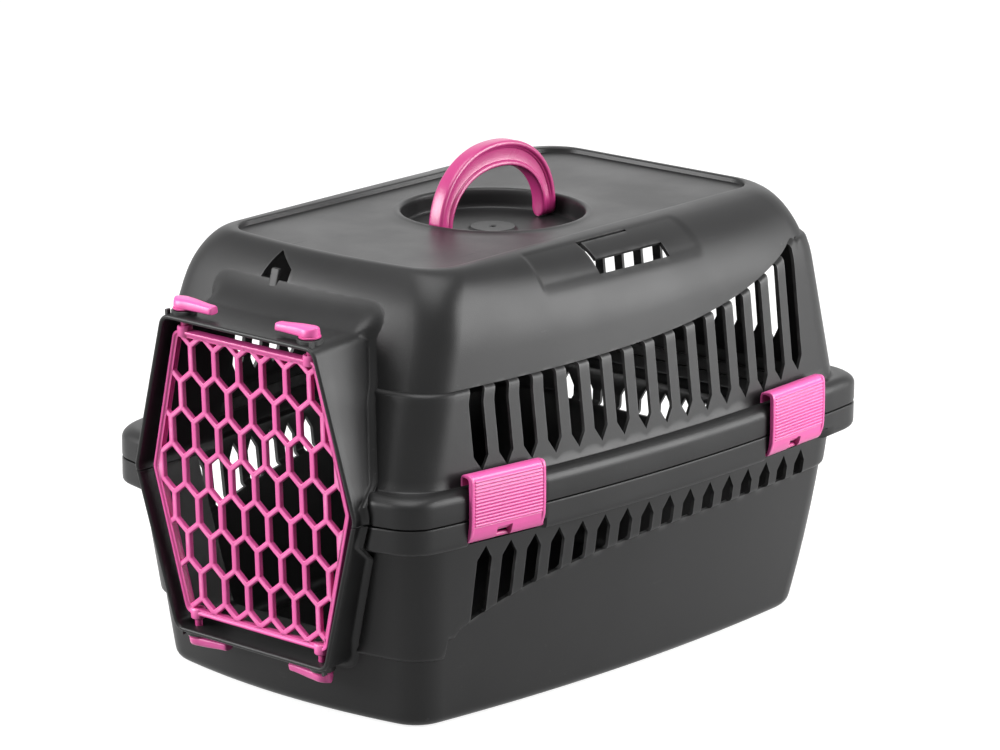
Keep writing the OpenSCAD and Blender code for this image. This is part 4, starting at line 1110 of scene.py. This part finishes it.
# %% Materials
def plastic(name, colour, worn_and_highlight, crease_shade, rough, grain, grain_height, scuffs, specular):
    """A plastic from its colour, its rubbed colour that also paints a highlight on sharp edges, the colour of
    painted shade in creases, roughness, the grain's scale and its height in metres, the strength of the scuffs
    and the specular level."""
    material = bpy.data.materials.new(name)
    material.use_nodes = True
    tree = material.node_tree
    shader = tree.nodes["Principled BSDF"]
    shader.inputs["Specular IOR Level"].default_value = specular

    def placed(group, **values):
        """Outputs of a group node with the given inputs."""
        node = tree.nodes.new("ShaderNodeGroup")
        node.node_tree = group
        for label, value in values.items():
            node.inputs[label].default_value = value
        return node.outputs

    def mixed(share, a, b):
        """The colour a share of the way from a to b, each a colour or a socket."""
        node = tree.nodes.new("ShaderNodeMix")
        node.data_type = "RGBA"
        tree.links.new(share, node.inputs["Factor"])
        for socket, value in ((node.inputs["A"], a), (node.inputs["B"], b)):
            if isinstance(value, tuple):
                socket.default_value = (*value, 1)
            else:
                tree.links.new(value, socket)
        return node.outputs["Result"]

    wear_and_painted_light, touch = placed(WEAR_AND_PAINTED_LIGHT, Amount=1.0), placed(HANDLING, Scuffs=scuffs)
    cloud = spread(tree, touch["Cloud"], 0.3, 0.7)
    base = mixed(cloud, tuple(c * 0.93 for c in colour), tuple(min(1, c * 1.06) for c in colour))
    # Painted shade: creases are darkened towards the third colour.
    base = mixed(maths(tree, "MULTIPLY", wear_and_painted_light["Crease shade"], 0.55), base, crease_shade)
    # Rubbed edges are lightened towards the second colour, which also paints a highlight along them.
    base = mixed(maths(tree, "MULTIPLY", wear_and_painted_light["Edges"], 0.5), base, worn_and_highlight)
    base = mixed(maths(tree, "MULTIPLY", touch["Scuffs"], 0.3), base, worn_and_highlight)
    tree.links.new(base, shader.inputs["Base Color"])
    finish = spread(tree, touch["Cloud"], 0.25, 0.75, rough - 0.05, rough + 0.05)
    finish = maths(tree, "ADD", finish, maths(tree, "MULTIPLY", touch["Scuffs"], 0.12))
    tree.links.new(finish, shader.inputs["Roughness"])
    bump = tree.nodes.new("ShaderNodeBump")
    bump.inputs["Strength"].default_value = 1.0
    bump.inputs["Distance"].default_value = grain_height
    tree.links.new(placed(GRAIN, Scale=grain)["Height"], bump.inputs["Height"])
    tree.links.new(bump.outputs["Normal"], shader.inputs["Normal"])
    return material


# Each plastic's second colour marks rubbed edges and scuffs and also paints a highlight on sharp edges; its
# third colour is painted shade in creases.
charcoal = plastic("charcoal_shell", (0.010, 0.010, 0.0102), (0.070, 0.070, 0.070), (0.003, 0.003, 0.003),
                   0.38, 1500.0, 0.00005, 1.0, 0.21)
bright_pink = plastic("bright_pink", (0.62, 0.083, 0.295), (0.90, 0.36, 0.60), (0.34, 0.008, 0.11),
                      0.34, 2200.0, 0.00003, 0.6, 0.45)
deep_pink = plastic("deep_pink", (0.36, 0.025, 0.14), (0.70, 0.17, 0.38), (0.16, 0.004, 0.05),
                    0.30, 2200.0, 0.00003, 0.6, 0.5)


def finish_of(name):
    """Material of a piece or node by its name, and a name for its kind of plastic."""
    if "shell" in name:
        return charcoal, "shell_plastic"
    if "handle" in name:
        return deep_pink, "handle_plastic"
    return bright_pink, "accent_plastic"


for piece in [o for o in bpy.data.objects if o.type == "MESH"]:
    material, slot = finish_of(piece.name)
    if piece.name in nodes:
        piece.data.materials.clear()
        piece.data.materials.append(material)
    else:
        piece.data.materials.append(material)
print("materials", [m.name for m in bpy.data.materials])

# %% [markdown]
# The stage is a pale floor and four large soft lamps: one behind on the right, whose mirror image lies in
# the side wall, one on the left for the front wall, one above, and a faint one at the back. Between them
# little light falls on the near corner, so it stays dark. Camera, mirror and transmission rays see the world
# and the floor as white.


# %% Stage, lamps and world
def seen_directly(tree):
    """1 for camera, glossy and transmission rays, 0 for the rays that carry light."""
    path_node = tree.nodes.new("ShaderNodeLightPath")
    both = maths(tree, "MAXIMUM", path_node.outputs["Is Camera Ray"], path_node.outputs["Is Glossy Ray"])
    return maths(tree, "MAXIMUM", both, path_node.outputs["Is Transmission Ray"])


floor_mesh = bpy.data.meshes.new("floor")
floor_mesh.from_pydata([(-6, -6, 0), (6, -6, 0), (6, 8, 0), (-6, 8, 0)], [], [(0, 1, 2, 3)])
floor = bpy.data.objects.new("floor", floor_mesh)
bpy.context.scene.collection.objects.link(floor)
# The paper glows in the rays that see it directly, and is nearly black to the rays that light the object
paper = bpy.data.materials.new("white_paper")
paper.use_nodes = True
tree = paper.node_tree
shader = tree.nodes["Principled BSDF"]
shader.inputs["Roughness"].default_value = 0.8
shader.inputs["Specular IOR Level"].default_value = 0.1
shader.inputs["Emission Color"].default_value = (1, 1, 1, 1)
directly = seen_directly(tree)
tree.links.new(maths(tree, "MULTIPLY", directly, 0.8), shader.inputs["Emission Strength"])
tree.links.new(spread(tree, directly, 0, 1, 0.08, 0.3), shader.inputs["Base Color"])
floor_mesh.materials.append(paper)


def lamp(name, azimuth, elevation, distance, size, power, target=(0, 0, 0.14)):
    """A square area lamp at an azimuth and elevation from the target, turned towards it."""
    a, e = math.radians(azimuth), math.radians(elevation)
    towards = Vector((math.sin(a) * math.cos(e), -math.cos(a) * math.cos(e), math.sin(e)))
    place = Vector(target) + distance * towards
    data = bpy.data.lights.new(name, "AREA")
    data.energy, data.size = power, size
    light = bpy.data.objects.new(name, data)
    turn = (Vector(target) - place).to_track_quat("-Z", "Y").to_matrix()
    light.matrix_world = Matrix.Translation(place) @ turn.to_4x4()
    bpy.context.scene.collection.objects.link(light)


lamp("side_lamp", 128, 17, 2.6, 1.9, 135, (0.1, -0.1, 0.2))
lamp("front_lamp", -38, 20, 2.4, 1.3, 86)
lamp("top_lamp", 20, 78, 2.4, 1.8, 64)
lamp("back_lamp", 218, 24, 2.6, 1.6, 3.5)
world = bpy.data.worlds.new("studio")
bpy.context.scene.world = world
world.use_nodes = True
tree = world.node_tree
background = tree.nodes["Background"]
background.inputs["Color"].default_value = (1, 1, 1, 1)
share = seen_directly(tree)
tree.links.new(spread(tree, share, 0, 1, 0.1, 1), background.inputs["Strength"])
bpy.context.scene.view_settings.view_transform = "Standard"

# %% [markdown]
# Last, the scene is brought up to date.

# %% Update
bpy.context.view_layer.update()
